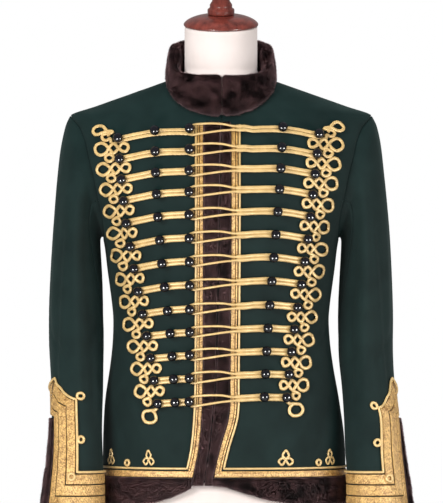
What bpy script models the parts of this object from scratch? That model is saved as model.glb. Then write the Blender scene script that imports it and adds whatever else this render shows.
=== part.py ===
"""A fur-edged hussar jacket on a limbless dress form with a turned wooden cap and a round base.

Lengths are in millimetres and angles in degrees, and make_mesh turns them to metres. The jacket faces -Y
and its wearer's left is +X. The underside of the base is at Z = 0. Places on the body are a turn from the
front centre and a height: the turn is 0 at the front, 90 at the wearer's left side seam and 180 at the
centre of the back.
"""

import math
from collections import namedtuple

import bmesh
import bpy
from mathutils import Matrix, Vector

MM = 0.001
RIGHT, LEFT = -1, 1
SHARP_ANGLE = 50

CLOTH = 3.0
SEAM_GAP = 0.3
ARMHOLE_GAP = 0.8
BRAID_FOOT_Z = 704.0  # the front edges' braid and fur end here, under the collar
LIFT = 0.9  # what is sewn on lies this far off the cloth, which clears the flats between the cloth's points

HEM_LACE_Z = 172.0
ARMPIT_Z = 531.0
SHOULDER_Z = 722.0
NECK_CORNER_Z = 775.0
NECK_FRONT_Z = 721.0
NECK_HALF_WIDTH = 78.0
ARMHOLE_FRONT = 68.0
ARMHOLE_BACK = 78.0
ARMHOLE_STEPS = 8
FRONT_COLUMNS = 7
BACK_COLUMNS = 6

# Level sections of the body, from below the hem to above the neck corner.
Section = namedtuple("Section", "z half_width front back roundness")
SECTIONS = (
    Section(90, 181, 122, 128, 2.2),
    Section(180, 181, 123, 129, 2.2),
    Section(240, 180, 123, 129, 2.2),
    Section(288, 177, 121, 127, 2.3),
    Section(336, 170, 117, 123, 2.3),
    Section(373, 166, 114, 119, 2.3),
    Section(409, 165, 113, 117, 2.3),
    Section(433, 167, 115.5, 117, 2.3),
    Section(482, 173.5, 121, 118, 2.3),
    Section(531, 180, 126.5, 119, 2.3),
    Section(560, 190, 129, 120, 2.3),
    Section(600, 209, 130, 122, 2.3),
    Section(640, 222, 126, 120, 2.3),
    Section(660, 227, 120.5, 117, 2.3),
    Section(680, 230, 112, 112, 2.25),
    Section(700, 232, 100, 105, 2.2),
    Section(722, 230, 83, 94, 2.1),
    Section(735, 193.2, 71.5, 87, 2.0),
    Section(750, 150.8, 57, 77, 2.0),
    Section(765, 108.3, 41.5, 66, 2.0),
    Section(775, 80, 30, 58, 2.0),
    Section(785, 51.7, 19, 49, 2.0),
)

# Towards the hem the skirt stands out further on the wearer's left than on the right.
Flare = namedtuple("Flare", "z reach")
LEFT_FLARE = (Flare(202, 9.5), Flare(239, 7.7), Flare(275, 4.4), Flare(300, 3.0), Flare(409, 0.0))

# Soft folds of the body. A negative height is a trough.
BodyFold = namedtuple("BodyFold", "turn spread z reach height")
BODY_FOLDS = (
    BodyFold(152, 12, 500, 90, -3.0),
    BodyFold(118, 11, 455, 70, -2.5),
    BodyFold(132, 11, 235, 90, 3.0),
    BodyFold(160, 10, 230, 90, -2.5),
    BodyFold(76, 9, 455, 60, -2.0),
)

# The front edges, from the hem to the neck: where they meet, and where the fur ends on each side of it.
FrontEdge = namedtuple("FrontEdge", "z meeting fur_right fur_left")
FRONT_EDGES = (
    FrontEdge(130, -29.0, -45.5, -14.0),
    FrontEdge(172, -24.0, -42.0, -11.0),
    FrontEdge(215, -17.5, -33.5, -1.5),
    FrontEdge(265, -12.0, -28.9, 12.2),
    FrontEdge(318, -7.6, -27.4, 13.7),
    FrontEdge(516, -3.0, -26.6, 15.2),
    FrontEdge(725, 1.5, -26.6, 15.2),
)
FUR_HEIGHT = 6.3
FUR_GAP = 0.4
# Across the fur of a front edge, from the meeting line: a share of its width, and its height there.
FurShape = namedtuple("FurShape", "share height")
FRONT_FUR = (
    FurShape(0.0, LIFT),
    FurShape(0.0, FUR_HEIGHT),
    FurShape(0.75, FUR_HEIGHT),
    FurShape(1.0, LIFT),
)
# The trims of the front edges are bent at the cloth's own rows.
FRONT_STATIONS = (HEM_LACE_Z, 213, 260, 310, 360, 409, 452, 494, 538.3, 590, 626.5, 663, 694, BRAID_FOOT_Z)

HEM_FUR_SIDE_Z = 128.0
HEM_FUR_RISE = 32.0
HEM_FUR_PEAK_TURN = -10.0  # the hem's fur is narrowest here and widens in so many degrees on each side
HEM_FUR_SPREAD_RIGHT = 24.0
HEM_FUR_SPREAD_LEFT = 38.0
HEM_LEAST_TURN = 3.0
CORNER_RUN = 6.0
HEM_SHOW_THROUGH = 4.0  # the fur reaches this far below the cloth
HEM_FUR = (
    FurShape(0.0, LIFT),
    FurShape(0.2, FUR_HEIGHT + 2),
    FurShape(0.8, FUR_HEIGHT + 1),
    FurShape(1.0, LIFT),
)

HEM_LACE = 9.5
HEM_GAP = 1.6
LACE = 7.0
CORD = 4.4
LACE_HEIGHT = 1.8
WEB_HEIGHT = 0.6
CORD_HEIGHT = 4.0
LACE_EDGE = 0.4  # the lace's own edge slopes over this much
EDGE_GAP_RIGHT = 0.8
EDGE_GAP_LEFT = 3.6
TRIM_GAP = 0.3  # between the fur and the lace beside it

# The frogging: thirteen rows, and where each column of buttons stands in some of them.
ROWS = 13
Place = namedtuple("Place", "x z")
Stop = namedtuple("Stop", "row x z")
RIGHT_COLUMNS = (
    (Stop(1, -153, 682), Stop(4, -143, 591), Stop(7, -127, 488), Stop(10, -108, 385), Stop(13, -93, 283)),
    (Stop(1, -99, 692), Stop(4, -95, 600), Stop(7, -86.5, 496), Stop(10, -74.5, 389), Stop(13, -67.5, 285)),
    (Stop(1, -47, 693), Stop(4, -47, 603), Stop(7, -46, 499), Stop(10, -45.5, 391), Stop(13, -46.5, 286)),
)
LEFT_COLUMNS = (
    (Stop(1, 146, 688), Stop(4, 135, 600), Stop(7, 122.5, 499), Stop(10, 107, 395), Stop(13, 96.5, 292)),
    (Stop(1, 92.5, 697), Stop(4, 86.5, 607), Stop(7, 77.5, 505), Stop(10, 69, 397), Stop(13, 64, 293)),
)
LEFT_SPLIT = (Stop(1, 24, 695.5), Stop(4, 24, 606), Stop(7, 24, 503.5), Stop(10, 24, 395.5), Stop(13, 22, 290.5))
SPLIT_STATIONS = (0.4, 0.72)  # shares of the way from the last button to the split

STRIP_HALF = 5.4
STRIP_CREST = 2.8
STRIP_HEIGHT = 3.7
STRIP_GROOVE = 2.2
SPLIT_GROOVE = 0.9
STRIP_END = 2.6
ROW_TAIL = 0.5
CORD_HALF = 1.8
CORD_THICK = 3.4
# The left rows start to rise here, on their way over the front edge's braid.
ROW_RISE_X = 50.0
ROW_RISE_RUN = 16.0
ROW_RISE = 5.4

BALL = 7.6
# Rings of a button above the cord that it sits on.
BallRing = namedtuple("BallRing", "radius height")
BALL_RINGS = (BallRing(1.0, 5.4), BallRing(0.62, 12.4))
LOOPED_RINGS = (BallRing(0.45, 5.6), BallRing(1.0, 10.0), BallRing(0.62, 17.0))
BALL_SEAT = 4.0
SEAT_POINTS = 8
SEAT_START = 225.0  # the angle of a seat's first point from the row's way

# The loops of the left rows over the fur: how far each leg is from the row's line, and how high it runs.
LoopStep = namedtuple("LoopStep", "x spread height")
LOOP_STEPS = (
    LoopStep(10.0, 3.8, 7.6),
    LoopStep(-7.0, 5.2, 8.2),
    LoopStep(-24.0, 6.0, 8.0),
    LoopStep(-38.0, 6.9, 6.2),
)
LOOP_REACH = 6.9
LOOP_HEIGHT = 5.3

# The knotted cord outside the buttons, as rings: from a row's outer button, outward and down.
KnotRing = namedtuple("KnotRing", "outward down outer inner points")
KNOT_BIG = KnotRing(22.8, 16.2, 10.6, 5.4, 7)
KNOT_INNER = KnotRing(-6.6, 14.6, 7.2, 2.4, 5)
KNOT_LOW = KnotRing(10.6, 33.3, 6.8, 2.4, 5)
KNOT_TOP_BIG = KnotRing(26.5, -17.0, 10.0, 5.0, 8)
KNOT_END = KnotRing(4.0, 17.6, 11.5, 6.8, 8)
KNOT_PITCH = 34.3  # the knots are this far apart; where the rows are closer, the knots are lower and wider
RING_HEIGHT = 3.6
KNOT_LIFT = 1.8
KNOT_MARGIN = 4.0  # the least distance of a knot from the side seam and the armhole

Trefoil = namedtuple("Trefoil", "name x width_share")
TREFOILS = (
    Trefoil("right_inner", -108.7, 0.76),
    Trefoil("right_outer", -166.0, 0.76),
    Trefoil("left_inner", 97.3, 1.0),
    Trefoil("left_outer", 161.0, 0.92),
)
TREFOIL_Z = 198.2
TREFOIL_LIFT = 0.0
TREFOIL_OUTLINE = (
    Place(-3.6, 15.5),
    Place(3.6, 15.5),
    Place(5.0, 3.5),
    Place(12.6, 0.0),
    Place(12.0, -9.5),
    Place(0.0, -8.0),
    Place(-12.0, -9.5),
    Place(-12.6, 0.0),
    Place(-5.0, 3.5),
)
CREST_SHARE = 0.72
TREFOIL_DISH = 1.2

# The sleeve, from the armhole to the cuff: the points of its outline seen from the front, its depth and the
# angle of its front seam. The last three are what the left sleeve has more: at its inner and outer points it
# hangs further out, and its seam is turned.
Ring = namedtuple("Ring", "inner_x inner_z outer_x outer_z centre_y half_depth seam in_splay out_splay twist")
SLEEVE_RINGS = (
    Ring(178.2, 531.4, 231.0, 721.6, 5.0, 73, -90, 0, 0, 0),
    Ring(179.4, 534.2, 238.5, 703.0, 5.0, 75, -88, 0, 0, 0),
    Ring(181.4, 535.2, 246.0, 668.0, 4.5, 76, -85, 0, 0, 0),
    Ring(183.4, 533.6, 251.5, 622.0, 4.0, 76, -81, 0, 0, 0),
    Ring(184.2, 527.0, 255.5, 572.0, 3.5, 76, -75, 0, 0, 0),
    Ring(183.5, 508.0, 259.0, 523.0, 3.0, 75, -67, 0, 0, 0),
    Ring(181.5, 470.0, 261.5, 470.0, 1.5, 73.5, -55, 0, 0, 0),
    Ring(179.5, 415.0, 263.0, 415.0, -3.0, 71, -38, 0, 0, 0),
    Ring(179.0, 360.0, 261.7, 360.0, -14.5, 66, -10, 1, 1, 0),
    Ring(179.4, 310.0, 259.0, 310.0, -31.0, 61, 3, 5, 6, -6),
    Ring(180.5, 262.0, 257.5, 262.0, -48.0, 57.5, 5, 6.5, 12, -18),
    Ring(180.0, 210.0, 258.3, 210.0, -65.5, 55.5, 7, 9, 16, -17),
    Ring(178.3, 160.0, 263.0, 160.0, -80.5, 55, 8, 14, 17, -16.5),
    Ring(178.0, 109.0, 269.0, 109.0, -93.5, 55, 8, 13, 17, -16),
)
LEVEL_RING = 6  # from this ring down the sleeve's rings are level
SLEEVE_TURNS = 16
REAR_SEAM = 4  # columns behind the outermost one at the armhole
FRONT_SEAM = 5  # columns in front of it

# Folds of the sleeve, by the angle from its outermost line towards the front.
SleeveFold = namedtuple("SleeveFold", "angle spread top bottom height")
SLEEVE_FOLDS = (
    SleeveFold(90, 20, 600, 320, 3.0),
    SleeveFold(132, 18, 580, 330, -4.0),
    SleeveFold(48, 16, 580, 340, -2.0),
    SleeveFold(-60, 20, 610, 340, 2.5),
    SleeveFold(-105, 20, 590, 330, -4.0),
    SleeveFold(-145, 18, 560, 330, 2.5),
)

SLIT_TOP_Z = 262.0
SLIT_HALF_AT_HEM = 7.0
CUFF_RADIUS = 46.0  # turns a distance round the cuff into an angle
CUFF_FUR = 21.0
CUFF_FUR_BOTTOM_Z = 105.0
CUFF_FUR_TOP_Z = 131.8
CUFF_LIFT = 4.8  # the cuff curves tightly, so its trim lies further off the cloth than the body's does
CUFF_STATIONS = (260.0, 210.0, 160.0)  # heights down the slit where its fur is bent
CUFF_FUR_STEPS = 14
CUFF_FUR_THIN = 5.0
CUFF_FUR_THICK = 10.0
CUFF_FUR_SHARES = (0.0, 0.2, 0.8, 1.0)
CUFF_LACE_GAP = 0.8
CUFF_LACE_BOTTOM_Z = 132.3
# Across the cuff braid from the fur: three bands of lace and a cord.
Across = namedtuple("Across", "offset height")
CUFF_BANDS = (
    Across(0.0, 1.8),
    Across(10.5, 1.8),
    Across(12.0, 0.6),
    Across(13.5, 1.8),
    Across(27.5, 1.8),
    Across(29.0, 0.6),
    Across(30.5, 1.8),
    Across(44.0, 1.8),
    Across(45.2, 0.6),
    Across(47.3, 3.8),
    Across(49.5, 0.0),
    Across(33.0, 0.0),
    Across(16.5, 0.0),
)
CUFF_BRAID_STEPS = 11
CUFF_BRAID_BEND_Z = 210.0
CUFF_PEAK_Z = 266.0
CUFF_PEAK_RISE = 1.16
CUFF_PEAK_LEAN = 0.6
CUFF_SHOULDER_Z = 263.0
CUFF_SHOULDER_RISES = {RIGHT: 0.55, LEFT: 0.28}

COLLAR_OUT = 8.5
COLLAR_LAP = 6.5
COLLAR_SEAT = 2.6
COLLAR_LIFT = 2.2
NECK_FRONT_ANGLES = (14, 32, 52, 72, 90)
NECK_BACK_TURNS = (105, 130, 155)
COLLAR_LEAN = 4.0
COLLAR_FOOT = 2.0  # the foot of the collar's outside is rounded by this much, and its top by the next two
COLLAR_ROUNDING = 3.0
COLLAR_FALL = 1.0
# The collar's top edge round the neck, and how thick its fur is on the inside there.
CollarTop = namedtuple("CollarTop", "turn z inside")
COLLAR_TOPS = (
    CollarTop(0, 778.5, 6),
    CollarTop(30, 780, 6),
    CollarTop(52, 786, 7),
    CollarTop(75, 806, 10),
    CollarTop(90, 822, 11),
    CollarTop(120, 834, 9),
    CollarTop(150, 838, 7),
    CollarTop(180, 838, 6),
)

FORM_CLEAR = 6.4
FORM_HALF_WIDTH = 190.0
FORM_TURNS = 18
FORM_RINGS = (290, 409, 490, 560, 685, 708, 722, 740, 758, 775)
FormFoot = namedtuple("FormFoot", "z drawn_in")
# Where the form is further from the cloth: at the waist and at the turn of the shoulder.
Ease = namedtuple("Ease", "z reach depth")
FORM_EASES = (Ease(400, 110, 9.0), Ease(528, 30, 4.0), Ease(704, 22, 5.0), Ease(757, 14, 5.0))
NECK_RADIUS = 55.5
NECK_Y = -12.0
NECK_TOP_Y = -25.0
NECK_TOP_Z = 857.0
NECK_TILT = 11.0
NECK_RINGS = (788, 815)
NECK_FLARE = 6.0  # the neck widens by this much where it meets the shoulders
NECK_FLARE_REACH = 20.0
NECK_FLARE_Z = 775.0
NECK_LEAN_Z = 780.0  # above this the neck leans forward
FORM_BOTTOM_Z = 90.0
FORM_FOOT = (FormFoot(90, 16), FormFoot(98, 4), FormFoot(180, 0))
LEAST_SLOPE = 0.2  # keeps the form's clearance finite where the body turns away
# Turned profiles, from the outer rim up to the middle.
Turned = namedtuple("Turned", "radius height")
CAP_PROFILE = (
    Turned(55.5, 0.0),
    Turned(57.0, 3.0),
    Turned(52.0, 9.0),
    Turned(38.0, 15.0),
)
FINIAL_PROFILE = (
    Turned(20.5, 0.0),
    Turned(20.5, 8.5),
    Turned(17.4, 10.5),
    Turned(17.0, 16.0),
    Turned(12.5, 25.0),
    Turned(19.0, 40.0),
    Turned(19.5, 52.0),
    Turned(10.0, 64.0),
)
CAP_HEIGHT = 18.0
FINIAL_HEIGHT = 66.5
TURNED_STEPS = 16
POLE_RADIUS = 16.0
BASE_RADIUS = 150.0
BASE_HEIGHT = 20.0
BASE_EDGE = 6.0
BASE_CROWN = 1.0

# Colours are linear.
Finish = namedtuple("Finish", "colour roughness metallic")
FINISHES = {
    "wool": Finish((0.006, 0.020, 0.016, 1.0), 0.95, 0.0),
    "braid": Finish((0.62, 0.40, 0.10, 1.0), 0.55, 0.1),
    "fur": Finish((0.045, 0.022, 0.018, 1.0), 0.95, 0.0),
    "button": Finish((0.006, 0.006, 0.012, 1.0), 0.15, 0.0),
    "jersey": Finish((0.80, 0.72, 0.64, 1.0), 0.85, 0.0),
    "wood": Finish((0.085, 0.012, 0.008, 1.0), 0.2, 0.0),
}

SIDE_NAMES = {RIGHT: "right", LEFT: "left"}


def along(rows, key, column, at):
    """A column's value between the rows of a table, on a smooth curve; the key may run up or down."""
    keys = [getattr(row, key) for row in rows]
    values = [getattr(row, column) for row in rows]
    if keys[0] > keys[-1]:
        keys, values = keys[::-1], values[::-1]
    at = min(max(at, keys[0]), keys[-1])
    low = max(k for k in range(len(keys) - 1) if keys[k] <= at)

    def slope(k):
        before, after = max(k - 1, 0), min(k + 1, len(keys) - 1)
        return (values[after] - values[before]) / (keys[after] - keys[before])

    span = keys[low + 1] - keys[low]
    t = (at - keys[low]) / span
    start = (2 * t**3 - 3 * t**2 + 1) * values[low] + (t**3 - 2 * t**2 + t) * span * slope(low)
    return start + (3 * t**2 - 2 * t**3) * values[low + 1] + (t**3 - t**2) * span * slope(low + 1)


def blend(first, second, t):
    return first + (second - first) * t


def bump(distance, spread):
    return math.exp(-((distance / spread) ** 2))


def finish(name):
    """The material of one finish."""
    if name in bpy.data.materials:
        return bpy.data.materials[name]
    material = bpy.data.materials.new(name)
    material.use_nodes = True
    shader = material.node_tree.nodes["Principled BSDF"]
    shader.inputs["Base Color"].default_value = FINISHES[name].colour
    shader.inputs["Roughness"].default_value = FINISHES[name].roughness
    shader.inputs["Metallic"].default_value = FINISHES[name].metallic
    return material


def make_mesh(collection, name, shape, finish_name):
    """An object from a bmesh in millimetres, closed and facing out."""
    loose = [vertex for vertex in shape.verts if not vertex.link_faces]
    bmesh.ops.delete(shape, geom=loose, context="VERTS")
    bmesh.ops.recalc_face_normals(shape, faces=shape.faces)
    if shape.calc_volume(signed=True) < 0:
        bmesh.ops.reverse_faces(shape, faces=shape.faces)
    bmesh.ops.scale(shape, vec=(MM, MM, MM), verts=shape.verts)
    data = bpy.data.meshes.new(name)
    shape.to_mesh(data)
    shape.free()
    data.shade_smooth()
    data.set_sharp_from_angle(angle=math.radians(SHARP_ANGLE))
    data.materials.append(finish(finish_name))
    collection.objects.link(bpy.data.objects.new(name, data))


def add_grid(shape, outer, inner):
    """A closed wall between two grids of one size. Its rims are split one way, so that seams match."""
    layers = [[[shape.verts.new(point) for point in row] for row in grid] for grid in (outer, inner)]
    rows, columns = len(outer), len(outer[0])
    for layer in layers:
        for r in range(rows - 1):
            for c in range(columns - 1):
                shape.faces.new((layer[r][c], layer[r][c + 1], layer[r + 1][c + 1], layer[r + 1][c]))
    front, back = layers
    rim = [(0, c) for c in range(columns)] + [(r, columns - 1) for r in range(1, rows)]
    rim += [(rows - 1, c) for c in range(columns - 2, -1, -1)] + [(r, 0) for r in range(rows - 2, 0, -1)]
    for k, (r, c) in enumerate(rim):
        (low_r, low_c), (high_r, high_c) = sorted(((r, c), rim[(k + 1) % len(rim)]))
        start, end = front[low_r][low_c], back[high_r][high_c]
        shape.faces.new((start, front[high_r][high_c], end))
        shape.faces.new((start, end, back[low_r][low_c]))


def add_loft(shape, rings, closed=False):
    """Sides through rings of points; the two ends are capped unless the rings close on each other."""
    made = [[shape.verts.new(point) for point in ring] for ring in rings]
    count = len(made[0])
    sides = []
    for k in range(len(made) if closed else len(made) - 1):
        first, second = made[k], made[(k + 1) % len(made)]
        sides.append(
            [
                shape.faces.new((first[j], first[(j + 1) % count], second[(j + 1) % count], second[j]))
                for j in range(count)
            ]
        )
    if not closed:
        shape.faces.new(made[0])
        shape.faces.new(made[-1])
    return sides


def join_faces(shape, first, second):
    """Joins two four-sided faces by a short bridge, the way round that twists it least."""
    start = list(first.verts)
    best = None
    for corners in (list(second.verts), list(reversed(second.verts))):
        for shift in range(4):
            end = corners[shift:] + corners[:shift]
            length = sum((a.co - b.co).length for a, b in zip(start, end))
            if best is None or length < best[0]:
                best = (length, end)
    end = best[1]
    bmesh.ops.delete(shape, geom=[first, second], context="FACES_ONLY")
    for k in range(4):
        after = (k + 1) % 4
        shape.faces.new((start[k], start[after], end[after], end[k]))


def half_width(left, z):
    return along(SECTIONS, "z", "half_width", z) + (along(LEFT_FLARE, "z", "reach", z) if left else 0.0)


def body_reach(turn, z):
    """How far the body's surface is from its upright axis."""
    a = math.radians(turn)
    depth = along(SECTIONS, "z", "front" if math.cos(a) > 0 else "back", z)
    power = along(SECTIONS, "z", "roundness", z)
    across = abs(math.sin(a) / half_width(math.sin(a) > 0, z)) ** power
    reach = (across + abs(math.cos(a) / depth) ** power) ** (-1 / power)
    for fold in BODY_FOLDS:
        reach += fold.height * bump(abs(turn) - fold.turn, fold.spread) * bump(z - fold.z, fold.reach)
    return reach


def body_point(turn, z):
    reach = body_reach(turn, z)
    return Vector((reach * math.sin(math.radians(turn)), -reach * math.cos(math.radians(turn)), z))


def body_normal(turn, z):
    step = 0.4
    across = body_point(turn + step, z) - body_point(turn - step, z)
    up = body_point(turn, z + 1) - body_point(turn, z - 1)
    return across.cross(up).normalized()


def on_body(turn, z, height=0.0):
    return body_point(turn, z) + body_normal(turn, z) * height


def turn_at_x(x, z):
    """The turn at which the front's surface is at x."""
    power = along(SECTIONS, "z", "roundness", z)
    part = min(abs(x) / half_width(x > 0, z), 1.0)
    depth = along(SECTIONS, "z", "front", z) * (1 - part**power) ** (1 / power)
    return math.degrees(math.atan2(x, depth))


def turn_at_depth(column, depth, z):
    """The turn, 0 to 180, at which the front or the back is this deep."""
    power = along(SECTIONS, "z", "roundness", z)
    part = min(depth / along(SECTIONS, "z", column, z), 1.0)
    x = along(SECTIONS, "z", "half_width", z) * (1 - part**power) ** (1 / power)
    turn = math.degrees(math.atan2(x, depth))
    return turn if column == "front" else 180 - turn


def on_front(x, z, height=0.0):
    return on_body(turn_at_x(x, z), z, height)


def front_edge(column, z):
    return along(FRONT_EDGES, "z", column, z)


def hem_fur_z(turn):
    """The height of the hem's lower edge, from the turn -180 to 180."""
    aside = turn - HEM_FUR_PEAK_TURN
    spread = HEM_FUR_SPREAD_RIGHT if aside < 0 else HEM_FUR_SPREAD_LEFT
    return HEM_FUR_SIDE_Z + HEM_FUR_RISE * bump(aside, spread)


def armhole_z(step):
    middle = (ARMPIT_Z + SHOULDER_Z) / 2
    return middle - (SHOULDER_Z - ARMPIT_Z) / 2 * math.cos(math.pi * step / ARMHOLE_STEPS)


def armhole_depth(depth, z):
    middle = (ARMPIT_Z + SHOULDER_Z) / 2
    part = (z - middle) / ((SHOULDER_Z - ARMPIT_Z) / 2)
    return depth * math.sqrt(max(1 - part**2, 0))


def neck_z(angle):
    """The height of the neckline's front curve, from its middle at 0 degrees to the shoulder at 90."""
    return NECK_CORNER_Z - (NECK_CORNER_Z - NECK_FRONT_Z) * math.cos(math.radians(angle))


def neck_x(z):
    part = (NECK_CORNER_Z - z) / (NECK_CORNER_Z - NECK_FRONT_Z)
    return NECK_HALF_WIDTH * math.sqrt(max(1 - part**2, 0))


def panel_heights():
    """The heights of a panel's rows above the hem."""
    skirt = [z for z in FRONT_STATIONS if z < ARMPIT_Z]
    armhole = [armhole_z(step) for step in range(ARMHOLE_STEPS + 1)]
    return skirt + armhole + [neck_z(angle) for angle in NECK_FRONT_ANGLES[1:]]


def side_turn(column, z):
    """Where a front or back panel ends: the side seam, the armhole or the shoulder seam."""
    inside = -1 if column == "front" else 1
    if ARMPIT_Z < z < SHOULDER_Z:
        depth = ARMHOLE_FRONT if column == "front" else ARMHOLE_BACK
        return turn_at_depth(column, armhole_depth(depth, z), z)
    return 90 + inside * math.degrees(SEAM_GAP / 2 / body_reach(90, z))


def front_turn(side, z):
    """The turn of a front's inner edge, at the meeting line or the neckline."""
    x = side * front_edge("meeting", z) + SEAM_GAP / 2
    if z > NECK_FRONT_Z:
        x = max(x, neck_x(z))
    return side * turn_at_x(side * x, z)


def panel(collection, name, side, column, columns):
    """A front or half a back, as a wall of cloth from its inner edge to its outer edge."""

    def spot(z, c):
        if column == "front":
            start = front_turn(side, z)
        else:
            start = 180 - math.degrees(SEAM_GAP / 2 / body_reach(180, z))
        return blend(start, side_turn(column, z), c / columns)

    outer, inner = [], []
    for z in [None] + panel_heights():
        turns = [spot(z or HEM_FUR_SIDE_Z, c) for c in range(columns + 1)]
        heights = [z or hem_fur_z(side * turn) + HEM_SHOW_THROUGH for turn in turns]
        outer.append([on_body(side * turn, height) for turn, height in zip(turns, heights)])
        inner.append([on_body(side * turn, height, -CLOTH) for turn, height in zip(turns, heights)])
    shape = bmesh.new()
    add_grid(shape, outer, inner)
    make_mesh(collection, name, shape, "wool")


Numbered = namedtuple("Numbered", "place value")


def sleeve_value(column, place):
    """A column of the sleeve's table at a place that counts its rings."""
    rows = [Numbered(k, getattr(ring, column)) for k, ring in enumerate(SLEEVE_RINGS)]
    return along(rows, "place", "value", place)


def sleeve_place(z):
    """The place of a level ring by its height."""
    for k in range(LEVEL_RING, len(SLEEVE_RINGS) - 1):
        high, low = SLEEVE_RINGS[k].outer_z, SLEEVE_RINGS[k + 1].outer_z
        if z >= low or k == len(SLEEVE_RINGS) - 2:
            return k + (high - z) / (high - low)


def seam_angle(side, place):
    return sleeve_value("seam", place) + (sleeve_value("twist", place) if side == LEFT else 0.0)


def sleeve_point(side, angle, place):
    """The sleeve's surface; the angle is 0 outermost and 90 at the front."""
    a = math.radians(angle)
    more = 1 if side == LEFT else 0
    inner_x = sleeve_value("inner_x", place) + more * sleeve_value("in_splay", place)
    outer_x = sleeve_value("outer_x", place) + more * sleeve_value("out_splay", place)
    inner = Vector((inner_x, 0, sleeve_value("inner_z", place)))
    outer = Vector((outer_x, 0, sleeve_value("outer_z", place)))
    half = (outer - inner) / 2
    depth = sleeve_value("half_depth", place)
    offset = half * math.cos(a) + Vector((0, -depth * math.sin(a), 0))
    point = (outer + inner) / 2 + offset
    for fold in SLEEVE_FOLDS:
        apart = (angle - fold.angle + 180) % 360 - 180
        middle, reach = (fold.top + fold.bottom) / 2, (fold.top - fold.bottom) / 2
        point += offset.normalized() * fold.height * bump(apart, fold.spread) * bump(point.z - middle, reach)
    point.y += sleeve_value("centre_y", place)
    point.x *= side
    return point


def sleeve_normal(side, angle, place):
    step = 1.0
    across = sleeve_point(side, angle + step, place) - sleeve_point(side, angle - step, place)
    low, high = max(place - 0.1, 0), min(place + 0.1, len(SLEEVE_RINGS) - 1)
    down = sleeve_point(side, angle, high) - sleeve_point(side, angle, low)
    return across.cross(down).normalized() * side


def on_sleeve(side, angle, place, height=0.0):
    return sleeve_point(side, angle, place) + sleeve_normal(side, angle, place) * height


def armhole_ring(side):
    """The armhole's outer and inner points, from the shoulder round the front, moved off the body's edge."""
    spots = []
    for step in range(SLEEVE_TURNS):
        front = step <= ARMHOLE_STEPS
        z = armhole_z(ARMHOLE_STEPS - step if front else step - ARMHOLE_STEPS)
        depth = ARMHOLE_FRONT if front else ARMHOLE_BACK
        turn = turn_at_depth("front" if front else "back", armhole_depth(depth, z), z)
        spots.append((side * turn, z))
    points = [on_body(turn, z) for turn, z in spots]
    outer, inner = [], []
    for k, (turn, z) in enumerate(spots):
        tangent = points[(k + 1) % SLEEVE_TURNS] - points[k - 1]
        normal = body_normal(turn, z)
        away = normal.cross(tangent).normalized() * ARMHOLE_GAP * side
        outer.append(points[k] + away)
        inner.append(points[k] + away - normal * CLOTH)
    return outer, inner


def slit_half(z):
    open_part = min(max((SLIT_TOP_Z - z) / (SLIT_TOP_Z - CUFF_FUR_BOTTOM_Z), 0), 1)
    return SEAM_GAP / 2 + SLIT_HALF_AT_HEM * open_part


def sleeve(collection, side):
    """The top and under halves of a sleeve, which part at the slit."""
    armhole_outer, armhole_inner = armhole_ring(side)
    halves = {
        "top": range(-REAR_SEAM, FRONT_SEAM + 1),
        "under": range(FRONT_SEAM, SLEEVE_TURNS - REAR_SEAM + 1),
    }
    for half, columns in halves.items():
        outer, inner = [], []
        for place in range(len(SLEEVE_RINGS)):
            seam = seam_angle(side, place) + 90
            z = SLEEVE_RINGS[place].outer_z
            row_outer, row_inner = [], []
            for c in columns:
                radius = SLEEVE_RINGS[place].half_depth
                shift = 0.0
                if c == columns[0]:
                    shift = slit_half(z) if half == "top" else SEAM_GAP / 2
                elif c == columns[-1]:
                    shift = -(slit_half(z) if half == "under" else SEAM_GAP / 2)
                angle = c * 360 / SLEEVE_TURNS + seam + math.degrees(shift / radius)
                if place == 0:
                    k = c % SLEEVE_TURNS
                    nearer = armhole_outer[(k + (1 if shift > 0 else -1)) % SLEEVE_TURNS] - armhole_outer[k]
                    along_edge = nearer.normalized() * abs(shift)
                    row_outer.append(armhole_outer[k] + along_edge)
                    row_inner.append(armhole_inner[k] + along_edge)
                else:
                    row_outer.append(on_sleeve(side, angle, place))
                    row_inner.append(on_sleeve(side, angle, place, -CLOTH))
            outer.append(row_outer)
            inner.append(row_inner)
        shape = bmesh.new()
        add_grid(shape, outer, inner)
        make_mesh(collection, f"sleeve_{half}_{SIDE_NAMES[side]}", shape, "wool")


def cuff_spot(side, distance, z, height):
    """A point over the cuff, by its distance round from the slit's middle towards the front."""
    place = sleeve_place(z)
    angle = seam_angle(side, place) + math.degrees(distance / CUFF_RADIUS)
    below = max(SLEEVE_RINGS[-1].outer_z - z, 0)
    return on_sleeve(side, angle, place, height) - Vector((0, 0, below))


def round_the_cuff(corner, share):
    """How far round a spot of the cuff's level trim is, from one corner to the other, the front way."""
    return blend(corner, math.tau * CUFF_RADIUS - corner, share)


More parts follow.
